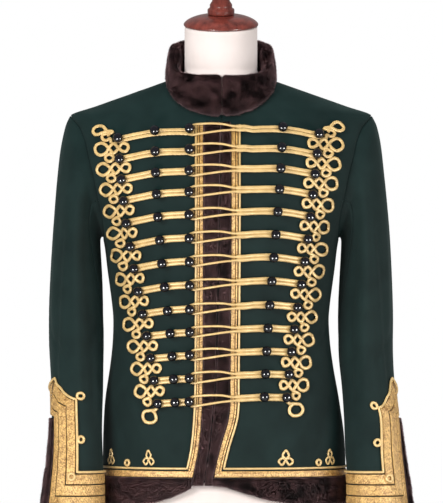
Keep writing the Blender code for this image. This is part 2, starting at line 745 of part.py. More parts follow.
def cuff_fur(collection, side):
    """Fur down both edges of the slit and round the bottom of the cuff."""
    level = CUFF_FUR_TOP_Z - CUFF_FUR_BOTTOM_Z

    def ring(place_of, thick):
        heights = (CUFF_LIFT, thick, thick, CUFF_LIFT)
        return [cuff_spot(side, *place_of(part), height) for part, height in zip(CUFF_FUR_SHARES, heights)]

    def upright(way, z):
        edge = slit_half(z) + TRIM_GAP
        return lambda part: (way * blend(edge, CUFF_FUR, part), z)

    def corner(way):
        edge = slit_half(CUFF_FUR_BOTTOM_Z) + TRIM_GAP
        return lambda part: (way * blend(edge, CUFF_FUR, part), CUFF_FUR_BOTTOM_Z + level * part)

    def bottom(share):
        return lambda part: (round_the_cuff(corner(1)(part)[0], share), CUFF_FUR_BOTTOM_Z + level * part)

    count = len(CUFF_STATIONS)
    thicks = [blend(CUFF_FUR_THIN, CUFF_FUR_THICK, k / count) for k in range(count)]
    rings = [ring(upright(1, z), thick) for z, thick in zip(CUFF_STATIONS, thicks)]
    rings.append(ring(corner(1), CUFF_FUR_THICK))
    rings += [ring(bottom(k / CUFF_FUR_STEPS), CUFF_FUR_THICK) for k in range(1, CUFF_FUR_STEPS)]
    rings.append(ring(corner(-1), CUFF_FUR_THICK))
    rings += [ring(upright(-1, z), thick) for z, thick in zip(CUFF_STATIONS[::-1], thicks[::-1])]
    shape = bmesh.new()
    add_loft(shape, rings)
    make_mesh(collection, f"cuff_fur_{SIDE_NAMES[side]}", shape, "fur")


def cuff_braid(collection, side):
    """Three bands of lace and a cord round the cuff, up both sides of the slit and to a peak over it."""
    bands = (Across(0.0, 0.0),) + CUFF_BANDS
    inner = CUFF_FUR + CUFF_LACE_GAP
    rise = CUFF_SHOULDER_RISES[side]

    def ring(place_of):
        return [cuff_spot(side, *place_of(band.offset), CUFF_LIFT + band.height) for band in bands]

    def peak(offset):
        return CUFF_PEAK_LEAN * offset, CUFF_PEAK_Z + CUFF_PEAK_RISE * offset

    def shoulder(way):
        return lambda offset: (way * (inner + offset), CUFF_SHOULDER_Z + rise * offset)

    def towards(way, share):
        first, second = peak, shoulder(way)
        return lambda offset: tuple(blend(a, b, share) for a, b in zip(first(offset), second(offset)))

    def upright(way, z):
        return lambda offset: (way * (inner + offset), z)

    def corner(way):
        return lambda offset: (way * (inner + offset), CUFF_LACE_BOTTOM_Z + offset)

    def bottom(share):
        return lambda offset: (round_the_cuff(corner(1)(offset)[0], share), CUFF_LACE_BOTTOM_Z + offset)

    rings = [ring(peak), ring(towards(1, 0.5)), ring(shoulder(1))]
    rings += [ring(upright(1, CUFF_BRAID_BEND_Z)), ring(corner(1))]
    rings += [ring(bottom(k / CUFF_BRAID_STEPS)) for k in range(1, CUFF_BRAID_STEPS)]
    rings += [ring(corner(-1)), ring(upright(-1, CUFF_BRAID_BEND_Z)), ring(shoulder(-1))]
    rings += [ring(towards(-1, 0.75)), ring(towards(-1, 0.5)), ring(towards(-1, 0.25))]
    shape = bmesh.new()
    add_loft(shape, rings, closed=True)
    make_mesh(collection, f"cuff_braid_{SIDE_NAMES[side]}", shape, "braid")


def front_fur(collection, side):
    """The fur down one front edge, from the collar to the bottom of the hem."""
    column = f"fur_{SIDE_NAMES[side]}"
    rings = []
    for z in (hem_fur_z(HEM_FUR_PEAK_TURN),) + FRONT_STATIONS:
        near = front_edge("meeting", z) + side * SEAM_GAP / 2
        far = front_edge(column, z)
        rings.append([on_front(blend(near, far, spot.share), z, spot.height) for spot in FRONT_FUR])
    shape = bmesh.new()
    add_loft(shape, rings)
    make_mesh(collection, f"front_fur_{SIDE_NAMES[side]}", shape, "fur")


def hem_fur(collection, name, turns, start_x=None):
    """A stretch of the hem's fur, below the lace. At a front, start_x tells where it starts by height."""
    rings = []
    for k, turn in enumerate(turns):
        ring = []
        for spot in HEM_FUR:
            z = blend(hem_fur_z(turn), HEM_LACE_Z - FUR_GAP, spot.share)
            at = turn_at_x(start_x(z), z) if k == 0 and start_x else turn
            ring.append(on_body(at, z, spot.height))
        rings.append(ring)
    shape = bmesh.new()
    add_loft(shape, rings)
    make_mesh(collection, name, shape, "fur")


def hem_fur_front(collection, side):
    """The hem's fur from beside one front edge's fur to the side seam."""
    name = SIDE_NAMES[side]

    def start_x(z):
        return front_edge(f"fur_{name}", z) + side * FUR_GAP

    turns = hem_turns(side, side * turn_at_x(start_x(HEM_LACE_Z), HEM_LACE_Z))
    hem_fur(collection, f"hem_fur_{name}", [side * turn for turn in turns], start_x)


def braid_profile(lace, gap, cord):
    """Lace, a thin web and a cord, as offsets across with heights."""
    return (
        Across(0.0, 0.0),
        Across(LACE_EDGE, LACE_HEIGHT),
        Across(lace, LACE_HEIGHT),
        Across(lace + gap, WEB_HEIGHT),
        Across(lace + gap + cord / 2, CORD_HEIGHT),
        Across(lace + gap + cord, 0.0),
    )


def hem_turns(side, first):
    """Turns along a front's hem, from a first one through the cloth's own columns to the side seam."""
    start, last = front_turn(side, HEM_LACE_Z), side_turn("front", HEM_LACE_Z)
    columns = [blend(start, last, c / FRONT_COLUMNS) for c in range(FRONT_COLUMNS + 1)]
    return [first] + [turn for turn in columns if turn > first + HEM_LEAST_TURN]


def edge_braid(collection, side):
    """Lace and cord down a front edge, round its corner and along the hem to the side seam."""
    column = f"fur_{SIDE_NAMES[side]}"
    upright = braid_profile(LACE, EDGE_GAP_RIGHT if side == RIGHT else EDGE_GAP_LEFT, CORD)
    level = braid_profile(HEM_LACE, HEM_GAP, CORD)
    rings = []
    for z in FRONT_STATIONS[:0:-1]:
        edge = front_edge(column, z) + side * TRIM_GAP
        rings.append([on_front(edge + side * p.offset, z, LIFT + p.height) for p in upright])
    corner = front_edge(column, HEM_LACE_Z) + side * TRIM_GAP
    rings.append(
        [
            on_front(corner + side * a.offset, HEM_LACE_Z + b.offset, LIFT + b.height)
            for a, b in zip(upright, level)
        ]
    )
    first = side * turn_at_x(corner + side * (upright[-1].offset + CORNER_RUN), HEM_LACE_Z)
    for turn in hem_turns(side, first):
        rings.append([on_body(side * turn, HEM_LACE_Z + p.offset, LIFT + p.height) for p in level])
    shape = bmesh.new()
    add_loft(shape, rings)
    make_mesh(collection, f"edge_braid_{SIDE_NAMES[side]}", shape, "braid")


def hem_back(collection):
    """The lace, cord and fur of the hem across the back."""
    level = braid_profile(HEM_LACE, HEM_GAP, CORD)
    first = side_turn("back", HEM_LACE_Z)
    half = [blend(first, 180, c / BACK_COLUMNS) for c in range(BACK_COLUMNS + 1)]
    turns = half + [-turn for turn in half[-2::-1]]
    rings = [[on_body(turn, HEM_LACE_Z + p.offset, LIFT + p.height) for p in level] for turn in turns]
    shape = bmesh.new()
    add_loft(shape, rings)
    make_mesh(collection, "hem_braid_back", shape, "braid")
    hem_fur(collection, "hem_fur_back", turns)


def column_place(column, row):
    """Where a column's button stands in one row; the top row is 0 here."""
    return Place(along(column, "row", "x", row + 1), along(column, "row", "z", row + 1))


def row_heights(x):
    """How high a row's cord runs off the cloth: on it, then up over the front edge's braid."""
    near = max(0.0, min(1.0, (ROW_RISE_X - x) / ROW_RISE_RUN)) if x > 0 else 0.0
    return LIFT + near * ROW_RISE


def strip_ring(spot, direction, height, groove=STRIP_GROOVE):
    """Two cords side by side with a groove between them, across the row's way."""
    across = Vector((-direction[1], direction[0])).normalized()
    offsets = (
        (-STRIP_HALF, 0.0),
        (-STRIP_CREST, STRIP_HEIGHT),
        (0.0, groove),
        (STRIP_CREST, STRIP_HEIGHT),
        (STRIP_HALF, 0.0),
    )
    return [on_front(spot[0] + across.x * o, spot[1] + across.y * o, height + h) for o, h in offsets]


def add_ball(shape, rim, spot, rings, base):
    """A round button over the points of its seat, which start before it on the row's lower cord."""
    centre = on_front(*spot)
    normal = body_normal(turn_at_x(*spot), spot[1])
    along_row = (rim[5].co - rim[1].co).normalized()
    across_row = (rim[3].co - rim[7].co).normalized()
    previous = rim
    for ring in rings:
        made = []
        for k in range(SEAT_POINTS):
            a = math.radians(SEAT_START) - math.tau * k / SEAT_POINTS
            offset = along_row * math.cos(a) + across_row * math.sin(a)
            made.append(shape.verts.new(centre + normal * (base + ring.height) + offset * BALL * ring.radius))
        for k in range(SEAT_POINTS):
            after = (k + 1) % SEAT_POINTS
            shape.faces.new((previous[k], previous[after], made[after], made[k]))
        previous = made
    shape.faces.new(previous)


def row_path(places):
    """Stations along a row with their marks, three to each button and one between two buttons."""
    first, last = places[0], places[-1]
    start_way = Vector((places[1].x - first.x, places[1].z - first.z)).normalized()
    end_way = Vector((last.x - places[-2].x, last.z - places[-2].z)).normalized()
    stations = [(Vector(first) - start_way * (STRIP_END + BALL_SEAT), None)]
    for number, place in enumerate(places):
        before = places[number - 1] if number else None
        after = places[number + 1] if number + 1 < len(places) else None
        way = (Vector(after or place) - Vector(before or place)).normalized()
        if before:
            stations.append(((Vector(before) + Vector(place)) / 2, None))
        stations.append((Vector(place) - way * BALL_SEAT, "before"))
        stations.append((Vector(place), number))
        stations.append((Vector(place) + way * BALL_SEAT, "after"))
    return stations, end_way


def frog(collection, side, row):
    """One row of the frogging on one side, with its buttons; the wearer's left rows end in a loop."""
    columns = RIGHT_COLUMNS if side == RIGHT else LEFT_COLUMNS
    places = [column_place(column, row) for column in columns]
    stations, end_way = row_path(places)
    if side == RIGHT:
        stations.append((Vector(places[-1]) + end_way * (BALL_SEAT + ROW_TAIL), None))
    else:
        split = column_place(LEFT_SPLIT, row)
        last = Vector(places[-1])
        for share in SPLIT_STATIONS:
            stations.append((last + (Vector(split) - last) * share, None))
        stations.append((Vector(split), None))
    shape = bmesh.new()
    rings = []
    for k, (spot, _) in enumerate(stations):
        before, after = stations[max(k - 1, 0)][0], stations[min(k + 1, len(stations) - 1)][0]
        groove = SPLIT_GROOVE if side == LEFT and k == len(stations) - 1 else STRIP_GROOVE
        points = strip_ring(spot, after - before, row_heights(spot.x), groove)
        rings.append([shape.verts.new(point) for point in points])
    marks = [mark for _, mark in stations]
    for k in range(len(rings) - 1):
        first, second = rings[k], rings[k + 1]
        seat = isinstance(marks[k], int) or isinstance(marks[k + 1], int)
        for j in range(5):
            if seat and j in (1, 2):
                continue
            after = (j + 1) % 5
            shape.faces.new((first[j], first[after], second[after], second[j]))
    for k, mark in enumerate(marks):
        if not isinstance(mark, int):
            continue
        before, here, after = rings[k - 1], rings[k], rings[k + 1]
        rim = [before[1], before[2], before[3], here[3], after[3], after[2], after[1], here[1]]
        looped = side == RIGHT and mark == len(places) - 1
        add_ball(shape, rim, stations[k][0], LOOPED_RINGS if looped else BALL_RINGS, LIFT + STRIP_HEIGHT - 1)
    shape.faces.new(rings[0])
    if side == RIGHT:
        shape.faces.new(rings[-1])
    else:
        add_loop(shape, rings[-1], split, column_place(RIGHT_COLUMNS[-1], row))
    make_mesh(collection, f"frog_{SIDE_NAMES[side]}_{row + 1:02d}", shape, "braid")


def add_loop(shape, end, split, button):
    """The loop over the fur and round the other side's button, from the parted ends of a row's two cords."""
    shape.faces.new((end[0], end[2], end[4]))
    line = Vector(button) - Vector(split)
    legs = {}
    for way in (-1, 1):
        leg = []
        for step in LOOP_STEPS:
            share = (step.x - split.x) / (button.x - split.x)
            middle = Vector(split) + line * share
            leg.append((middle + Vector((0, way * step.spread)), step.height, Vector((0, way))))
        legs[way] = leg
    first_way = 1 if end[0].co.z > end[4].co.z else -1
    bend = []
    for k in range(5):
        a = math.radians(90 + 45 * k)
        out = Vector((math.cos(a), math.sin(a) * first_way))
        bend.append((Vector(button) + out * LOOP_REACH, LOOP_HEIGHT, out))
    path = legs[first_way] + bend + legs[-first_way][::-1]
    previous = [end[0], end[1], end[2]]
    for spot, height, out in path:
        ring = [
            on_front(spot.x + out.x * CORD_HALF, spot.y + out.y * CORD_HALF, height),
            on_front(spot.x, spot.y, height + CORD_THICK),
            on_front(spot.x - out.x * CORD_HALF, spot.y - out.y * CORD_HALF, height),
        ]
        made = [shape.verts.new(point) for point in ring]
        for j in range(3):
            shape.faces.new((previous[j], previous[(j + 1) % 3], made[(j + 1) % 3], made[j]))
        previous = made
    last = [end[4], end[3], end[2]]
    for j in range(3):
        shape.faces.new((previous[j], previous[(j + 1) % 3], last[(j + 1) % 3], last[j]))


def arc_length(turn, z):
    """Millimetres along the surface for one degree of turn."""
    return (body_point(turn + 1, z) - body_point(turn - 1, z)).length / 2


def beside(spot, right, up, height):
    """A point on the body at distances along its surface from a spot given as a turn and a height."""
    turn, z = spot
    return on_body(turn + right / arc_length(turn, z), z + up, height)


def add_ring(shape, centre, ring):
    """A ring of cord on the front. Its outer slopes are returned with the angle at which each looks out."""
    rows = []
    for k in range(ring.points):
        a = math.tau * (k + 0.5) / ring.points
        out = Vector((math.cos(a), math.sin(a)))
        spots = ((ring.inner, 0.0), ((ring.inner + ring.outer) / 2, RING_HEIGHT), (ring.outer, 0.0))
        points = [beside(centre, out.x * r, out.y * r, KNOT_LIFT + h) for r, h in spots]
        rows.append([shape.verts.new(point) for point in points])
    slopes = []
    for k in range(ring.points):
        first, second = rows[k], rows[(k + 1) % ring.points]
        for j in range(3):
            face = shape.faces.new((first[j], first[(j + 1) % 3], second[(j + 1) % 3], second[j]))
            if j == 1:
                slopes.append((math.tau * (k + 1) / ring.points, face))
    return slopes


def nearest_slope(slopes, angle):
    return min(slopes, key=lambda slope: abs((slope[0] - angle + math.pi) % math.tau - math.pi))


def link_rings(shape, first, second):
    """Joins the slopes of two rings that face each other."""
    (turn, z), (next_turn, next_z) = first["centre"], second["centre"]
    run = (next_turn - turn) * arc_length((turn + next_turn) / 2, (z + next_z) / 2)
    angle = math.atan2(next_z - z, run)
    start = nearest_slope(first["slopes"], angle)
    end = nearest_slope(second["slopes"], angle + math.pi)
    first["slopes"].remove(start)
    second["slopes"].remove(end)
    join_faces(shape, start[1], end[1])


def knots(collection, side):
    """The looped cord outside the outer buttons, one knot below each row, as linked rings."""
    column = (RIGHT_COLUMNS if side == RIGHT else LEFT_COLUMNS)[0]
    shape = bmesh.new()

    def placed(row, ring):
        button = column_place(column, row)
        first = min(row, ROWS - 2)
        pitch = column_place(column, first).z - column_place(column, first + 1).z
        squeeze = min(pitch / KNOT_PITCH, 1.0)
        z = button.z - ring.down * squeeze
        turn = abs(turn_at_x(abs(button.x) + ring.outward / squeeze, z))
        margin = (ring.outer + KNOT_MARGIN) / arc_length(turn, z)
        turn = min([turn] + [side_turn("front", z + rise) - margin for rise in (-ring.outer, ring.outer)])
        centre = (side * turn, z)
        return {"centre": centre, "slopes": add_ring(shape, centre, ring)}

    previous = placed(0, KNOT_TOP_BIG)
    for row in range(ROWS - 1):
        big, inner, low = (placed(row, ring) for ring in (KNOT_BIG, KNOT_INNER, KNOT_LOW))
        link_rings(shape, previous, big)
        link_rings(shape, inner, big)
        link_rings(shape, big, low)
        previous = low
    link_rings(shape, previous, placed(ROWS - 1, KNOT_END))
    make_mesh(collection, f"knots_{SIDE_NAMES[side]}", shape, "braid")


def trefoil(collection, entry):
    """A small three-lobed ornament of cord that stands on the hem's cord, dished in the middle."""
    centre = (turn_at_x(entry.x, TREFOIL_Z), TREFOIL_Z)
    shape = bmesh.new()
    outline, crest = [], []
    for right, up in TREFOIL_OUTLINE:
        right *= entry.width_share
        outline.append(shape.verts.new(beside(centre, right, up, TREFOIL_LIFT)))
        top = beside(centre, right * CREST_SHARE, up * CREST_SHARE, TREFOIL_LIFT + RING_HEIGHT)
        crest.append(shape.verts.new(top))
    middle = shape.verts.new(beside(centre, 0, 0, TREFOIL_LIFT + TREFOIL_DISH))
    shape.faces.new(outline)
    for k in range(len(outline)):
        after = (k + 1) % len(outline)
        shape.faces.new((outline[k], outline[after], crest[after], crest[k]))
        shape.faces.new((crest[k], crest[after], middle))
    make_mesh(collection, f"trefoil_{entry.name}", shape, "braid")


def neck_spots(side):
    """Places round the neckline from the front edge to the middle of the back, as a turn and a height."""
    meeting = front_edge("meeting", NECK_FRONT_Z) + side * SEAM_GAP / 2
    spots = [(turn_at_x(meeting, NECK_FRONT_Z), NECK_FRONT_Z)]
    for angle in NECK_FRONT_ANGLES:
        a = math.radians(angle)
        z = neck_z(angle)
        spots.append((side * turn_at_x(NECK_HALF_WIDTH * math.sin(a), z), z))
    return spots + [(side * turn, NECK_CORNER_Z) for turn in NECK_BACK_TURNS]


def collar(collection):
    """The standing collar, furred on both sides, from one front edge round the back to the other."""
    spots = neck_spots(RIGHT) + [(180, NECK_CORNER_Z)] + neck_spots(LEFT)[::-1]
    points = [on_body(turn, z) for turn, z in spots]
    rings = []
    for k, (turn, z) in enumerate(spots):
        before, after = points[max(k - 1, 0)], points[min(k + 1, len(points) - 1)]
        tangent = (after - before).normalized()
        if k in (0, len(points) - 1):
            tangent = Vector((-1, 0, 0))
        normal = body_normal(turn, z)
        inward = tangent.cross(normal)
        if inward.z < 0:
            inward = -inward
        out = Vector((tangent.y, -tangent.x, 0)).normalized()
        if out.dot(Vector((points[k].x, points[k].y - NECK_Y, 0))) < 0:
            out = -out
        top_z = along(COLLAR_TOPS, "turn", "z", abs(turn))
        inside = along(COLLAR_TOPS, "turn", "inside", abs(turn))
        top = Vector((points[k].x, points[k].y, top_z)) - out * COLLAR_LEAN
        seat = points[k] + normal * COLLAR_LIFT + inward * COLLAR_SEAT
        middle = (seat + top) / 2
        rings.append(
            [
                points[k] - inward * COLLAR_LAP + normal * COLLAR_LIFT,
                points[k] - inward * (COLLAR_LAP - COLLAR_FOOT) + normal * COLLAR_OUT,
                middle + out * COLLAR_OUT,
                top + out * (COLLAR_OUT - COLLAR_ROUNDING),
                top + Vector((0, 0, COLLAR_ROUNDING)),
                top - out * (inside - COLLAR_FOOT) - Vector((0, 0, COLLAR_FALL)),
                middle - out * inside,
                seat,
            ]
        )
    shape = bmesh.new()
    add_loft(shape, rings)
    make_mesh(collection, "collar", shape, "fur")


def form_reach(turn, z):
    """The form's surface: the cloth's on the wearer's right, drawn in by its clearance; both sides are alike."""
    turn = -abs(turn)
    normal = body_normal(turn, z)
    out = Vector((math.sin(math.radians(turn)), -math.cos(math.radians(turn)), 0))
    loose = FORM_CLEAR
    for ease in FORM_EASES:
        loose += ease.depth * bump(z - ease.z, ease.reach)
    return body_reach(turn, z) - loose / max(normal.dot(out), LEAST_SLOPE)


def neck_reach(turn, radius):
    """The neck's circle, seen from the body's axis."""
    a = math.radians(turn)
    side_way = NECK_Y * math.sin(a)
    return -NECK_Y * math.cos(a) + math.sqrt(radius**2 - side_way**2)


def form_torso(collection):
    """The limbless form, from below the hem to the top of its neck."""
    turns = [360 * k / FORM_TURNS - 180 for k in range(FORM_TURNS)]
    rings = []
    for foot in FORM_FOOT:
        reaches = [form_reach(turn, foot.z) - foot.drawn_in for turn in turns]
        rings.append(form_ring(turns, reaches, foot.z))
    for z in FORM_RINGS:
        flared = NECK_RADIUS + NECK_FLARE * bump(z - NECK_FLARE_Z, NECK_FLARE_REACH)
        reaches = [max(form_reach(turn, z), neck_reach(turn, flared)) for turn in turns]
        rings.append(form_ring(turns, reaches, z))
    for z in NECK_RINGS:
        risen = (z - NECK_LEAN_Z) / (NECK_TOP_Z - NECK_LEAN_Z)
        lean = Vector((0, (NECK_TOP_Y - NECK_Y) * risen, 0))
        reaches = [neck_reach(turn, NECK_RADIUS) for turn in turns]
        rings.append([point + lean for point in form_ring(turns, reaches, z)])
    tilt = math.tan(math.radians(NECK_TILT))
    top = []
    for point in form_ring(turns, [neck_reach(turn, NECK_RADIUS) for turn in turns], NECK_TOP_Z):
        from_middle = point.y - NECK_Y
        top.append(Vector((point.x, NECK_TOP_Y + from_middle, NECK_TOP_Z + from_middle * tilt)))
    rings.append(top)
    shape = bmesh.new()
    add_loft(shape, rings)
    make_mesh(collection, "form_torso", shape, "jersey")


def form_ring(turns, reaches, z):
    points = []
    for turn, reach in zip(turns, reaches):
        a = math.radians(turn)
        x = max(-FORM_HALF_WIDTH, min(FORM_HALF_WIDTH, reach * math.sin(a)))
        points.append(Vector((x, -reach * math.cos(a), z)))
    return points


def turned(collection, name, profile, top, finish_name):
    """A turned piece standing on Z = 0, from its profile and the height of its middle."""
    data = bpy.data.meshes.new(name)
    points = [(0, 0, top)] + [(p.radius, 0, p.height) for p in profile[::-1]] + [(0, 0, 0)]
    vertices = [tuple(value * MM for value in point) for point in points]
    data.from_pydata(vertices, [(k, k + 1) for k in range(len(points) - 1)], [])
    piece = bpy.data.objects.new(name, data)
    collection.objects.link(piece)
    screw = piece.modifiers.new("Turn", "SCREW")
    screw.steps = screw.render_steps = TURNED_STEPS
    screw.use_merge_vertices = True
    screw.merge_threshold = 0.00001
    screw.use_smooth_shade = True
    data.materials.append(finish(finish_name))
    return piece


def stand(collection):
    """The neck's cap and finial, and the pole and base below the form."""
    tilt = math.radians(NECK_TILT)
    up = Matrix.Rotation(tilt, 3, "X") @ Vector((0, 0, 1))
    foot = Vector((0, NECK_TOP_Y, NECK_TOP_Z)) + up * SEAM_GAP
    cap = turned(collection, "neck_cap", CAP_PROFILE, CAP_HEIGHT, "wood")
    cap.location = foot * MM
    cap.rotation_euler = (tilt, 0, 0)
    finial = turned(collection, "finial", FINIAL_PROFILE, FINIAL_HEIGHT, "wood")
    finial.location = (foot + up * (CAP_HEIGHT + SEAM_GAP)) * MM
    finial.rotation_euler = (tilt, 0, 0)

    height = FORM_BOTTOM_Z - BASE_HEIGHT - 2 * SEAM_GAP
    pole = turned(collection, "pole", (Turned(POLE_RADIUS, 0), Turned(POLE_RADIUS, height)), height, "wood")
    pole.location = (0, 0, (BASE_HEIGHT + SEAM_GAP) * MM)
    base_profile = (
        Turned(BASE_RADIUS, 0),
        Turned(BASE_RADIUS, BASE_HEIGHT - BASE_EDGE),
        Turned(BASE_RADIUS - BASE_EDGE, BASE_HEIGHT - BASE_CROWN),
    )
    turned(collection, "base", base_profile, BASE_HEIGHT, "wood")


def main():
    for thing in list(bpy.data.objects):
        bpy.data.objects.remove(thing)
    jacket = bpy.data.collections.new("hussar_jacket")
    bpy.context.scene.collection.children.link(jacket)
    form_torso(jacket)
    stand(jacket)
    for side in (RIGHT, LEFT):
        name = SIDE_NAMES[side]
        panel(jacket, f"front_{name}", side, "front", FRONT_COLUMNS)
        panel(jacket, f"back_{name}", side, "back", BACK_COLUMNS)
        sleeve(jacket, side)
        cuff_fur(jacket, side)
        cuff_braid(jacket, side)
        front_fur(jacket, side)
        hem_fur_front(jacket, side)
        edge_braid(jacket, side)
        for row in range(ROWS):
            frog(jacket, side, row)
        knots(jacket, side)
    for entry in TREFOILS:
        trefoil(jacket, entry)
    hem_back(jacket)
    collar(jacket)


main()
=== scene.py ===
# %% [markdown]
# # A fur-edged hussar jacket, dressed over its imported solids
#
# The jacket is made here the way a tailor lists it: wool panels, fur bands, gold lace, cord, knots and
# buttons, each laid on the same measured surface as its solid. Lengths are in millimetres until a mesh is
# made. The jacket faces -Y, the wearer's left is +X, and a place on the body is a turn from the front
# centre and a height.

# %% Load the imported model
import math
import random
from collections import namedtuple
from functools import lru_cache

import bmesh
import bpy
from mathutils import Matrix, Vector, noise


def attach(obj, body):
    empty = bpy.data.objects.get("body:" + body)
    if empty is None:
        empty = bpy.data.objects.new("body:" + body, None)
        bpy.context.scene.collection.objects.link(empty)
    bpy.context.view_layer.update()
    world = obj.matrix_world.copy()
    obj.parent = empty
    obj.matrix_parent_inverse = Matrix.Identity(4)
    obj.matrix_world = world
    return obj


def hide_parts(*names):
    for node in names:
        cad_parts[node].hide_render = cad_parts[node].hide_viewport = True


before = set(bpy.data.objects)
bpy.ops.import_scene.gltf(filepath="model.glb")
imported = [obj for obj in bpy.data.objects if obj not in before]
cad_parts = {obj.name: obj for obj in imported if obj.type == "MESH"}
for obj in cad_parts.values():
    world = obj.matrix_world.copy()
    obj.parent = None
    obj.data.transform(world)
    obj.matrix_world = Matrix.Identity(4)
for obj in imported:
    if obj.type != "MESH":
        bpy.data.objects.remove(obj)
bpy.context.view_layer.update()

MM = 0.001
RIGHT, LEFT = -1, 1
SIDES = {RIGHT: "right", LEFT: "left"}
print("packed nodes:", len(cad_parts))

# %% [markdown]
# ## Curves through measured values
#
# The sizes of the jacket are short tables. Between two rows a value follows a smooth curve, so one table
# gives a whole surface. A ridge or a crease is a bell curve that dies away from its middle.

# %% Values between the rows of a table
def table(names, *rows):
    """Rows whose values are read by name. In a curve the first column holds the rising places."""
    make_row = namedtuple("Row", names)
    return [make_row(*row) for row in rows]


def column(rows, name):
    return [getattr(row, name) for row in rows]


def clamp(value, low=0.0, high=1.0):
    return min(max(value, low), high)


def blend(first, second, t):
    return first + (second - first) * t


def bump(distance, spread):
    return math.exp(-((distance / spread) ** 2))


def ramp(value, low, high):
    """0 below low, 1 above high and a soft rise between."""
    t = clamp((value - low) / (high - low))
    return t * t * (3 - 2 * t)


def along(keys, values, at):
    """A value on a smooth curve through values at rising keys."""
    at = clamp(at, keys[0], keys[-1])
    low = max(k for k in range(len(keys) - 1) if keys[k] <= at)

    def slope(k):
        before, after = max(k - 1, 0), min(k + 1, len(keys) - 1)
        return (values[after] - values[before]) / (keys[after] - keys[before])

    span = keys[low + 1] - keys[low]
    t = (at - keys[low]) / span
    start = (2 * t**3 - 3 * t**2 + 1) * values[low] + (t**3 - 2 * t**2 + t) * span * slope(low)
    return start + (3 * t**2 - 2 * t**3) * values[low + 1] + (t**3 - t**2) * span * slope(low + 1)


def read(rows, name, at):
    return along([row[0] for row in rows], column(rows, name), at)


def circle(count, radius):
    """Even steps round a circle, as x and y."""
    turns = [math.tau * k / count for k in range(count)]
    return [(math.cos(turn) * radius, math.sin(turn) * radius) for turn in turns]


# %% [markdown]
# ## The body's surface
#
# The cloth over the form is a stack of level sections, each a rounded oval with its own half width, front
# and back depth. Everything sewn to the jacket is placed on this surface by a turn and a height, so nothing
# floats.

# %% Sections of the body and its folds
SECTIONS = table(
    "z half_width front back roundness",
    (90, 181, 122, 128, 2.2), (180, 181, 123, 129, 2.2), (240, 180, 123, 129, 2.2),
    (288, 177, 121, 127, 2.3), (336, 170, 117, 123, 2.3), (373, 166, 114, 119, 2.3),
    (409, 165, 113, 117, 2.3), (433, 167, 115.5, 117, 2.3), (482, 173.5, 121, 118, 2.3),
    (531, 180, 126.5, 119, 2.3), (560, 190, 129, 120, 2.3), (600, 209, 130, 122, 2.3),
    (640, 222, 126, 120, 2.3), (660, 227, 120.5, 117, 2.3), (680, 230, 112, 112, 2.25),
    (700, 232, 100, 105, 2.2), (722, 230, 83, 94, 2.1), (735, 193.2, 71.5, 87, 2.0),
    (750, 150.8, 57, 77, 2.0), (765, 108.3, 41.5, 66, 2.0), (775, 80, 30, 58, 2.0),
    (785, 51.7, 19, 49, 2.0),
)
# Towards the hem the skirt stands out further on the wearer's left.
LEFT_FLARE = table("z reach", (202, 9.5), (239, 7.7), (275, 4.4), (300, 3.0), (409, 0.0))
BODY_FOLDS = table(
    "turn spread z reach height",
    (152, 12, 500, 90, -3.0), (118, 11, 455, 70, -2.5), (132, 11, 235, 90, 3.0), (160, 10, 230, 90, -2.5),
    (76, 9, 455, 60, -2.0),
)
# Creases that only the cloth has: from one place to another, by the turn on each side's own half.
BODY_CREASES = table(
    "top_turn top_z low_turn low_z spread height",
    (66, 560, 52, 500, 9, -1.6), (72, 545, 60, 470, 7, 1.2), (80, 420, 62, 392, 6, 1.4),
    (84, 400, 66, 372, 6, -1.4), (60, 300, 44, 205, 11, 1.7), (72, 300, 60, 205, 9, -1.7),
    (44, 270, 30, 200, 9, -1.2), (118, 600, 140, 520, 9, -2.0), (112, 580, 128, 500, 8, 1.4),
    (100, 425, 125, 398, 6, 1.6), (104, 402, 132, 376, 6, -1.6), (170, 430, 150, 408, 6, 1.2),
    (115, 330, 128, 205, 10, -1.8), (170, 330, 158, 205, 10, 1.6), (150, 690, 168, 640, 10, -1.2),
)
CREASE_DEPTH = 1.35
CREASE_FADE, SLEEVE_CREASE_FADE = 16.0, 25.0
# How far past its ends a crease is still worked out, as a share of its run, and how it swells between them.
CREASE_REACH, SLEEVE_CREASE_REACH = 0.5, 0.6
CREASE_SWELL = (-0.3, 0.8)
MM_A_DEGREE = 2.4
DRAPE, LOOSE_DRAPE = 0.6, 1.5
DRAPE_WIDTH, DRAPE_HEIGHT = 27.0, 110.0
# The rows of cord hold the cloth flat up to this turn and down to this height, and it hangs free past the
# fades.
FROGGED_TURN, FROGGED_TURN_FADE, FROGGED_Z, FROGGED_Z_FADE = 66.0, 14.0, 275.0, 30.0


@lru_cache(maxsize=None)
def section(z):
    return tuple(read(SECTIONS, name, z) for name in ("half_width", "front", "back", "roundness"))


@lru_cache(maxsize=None)
def flare(z):
    return read(LEFT_FLARE, "reach", z)


def crease_at(crease, z):
    """A height as a share of a crease's run, the same kept on the run, and the millimetres past its end."""
    run = crease.top_z - crease.low_z
    share = (z - crease.low_z) / run
    near = clamp(share)
    return share, near, (share - near) * run


def crease_height(turn, z):
    """How far the cloth's creases lift it at a place."""
    height = 0.0
    for crease in BODY_CREASES:
        share, near, past = crease_at(crease, z)
        if -CREASE_REACH < share < 1 + CREASE_REACH:
            apart = (abs(turn) - blend(crease.low_turn, crease.top_turn, near)) * MM_A_DEGREE
            swell = ramp(math.sin(math.pi * near), *CREASE_SWELL)
            height += crease.height * bump(apart, crease.spread) * bump(past, CREASE_FADE) * swell
    return CREASE_DEPTH * height


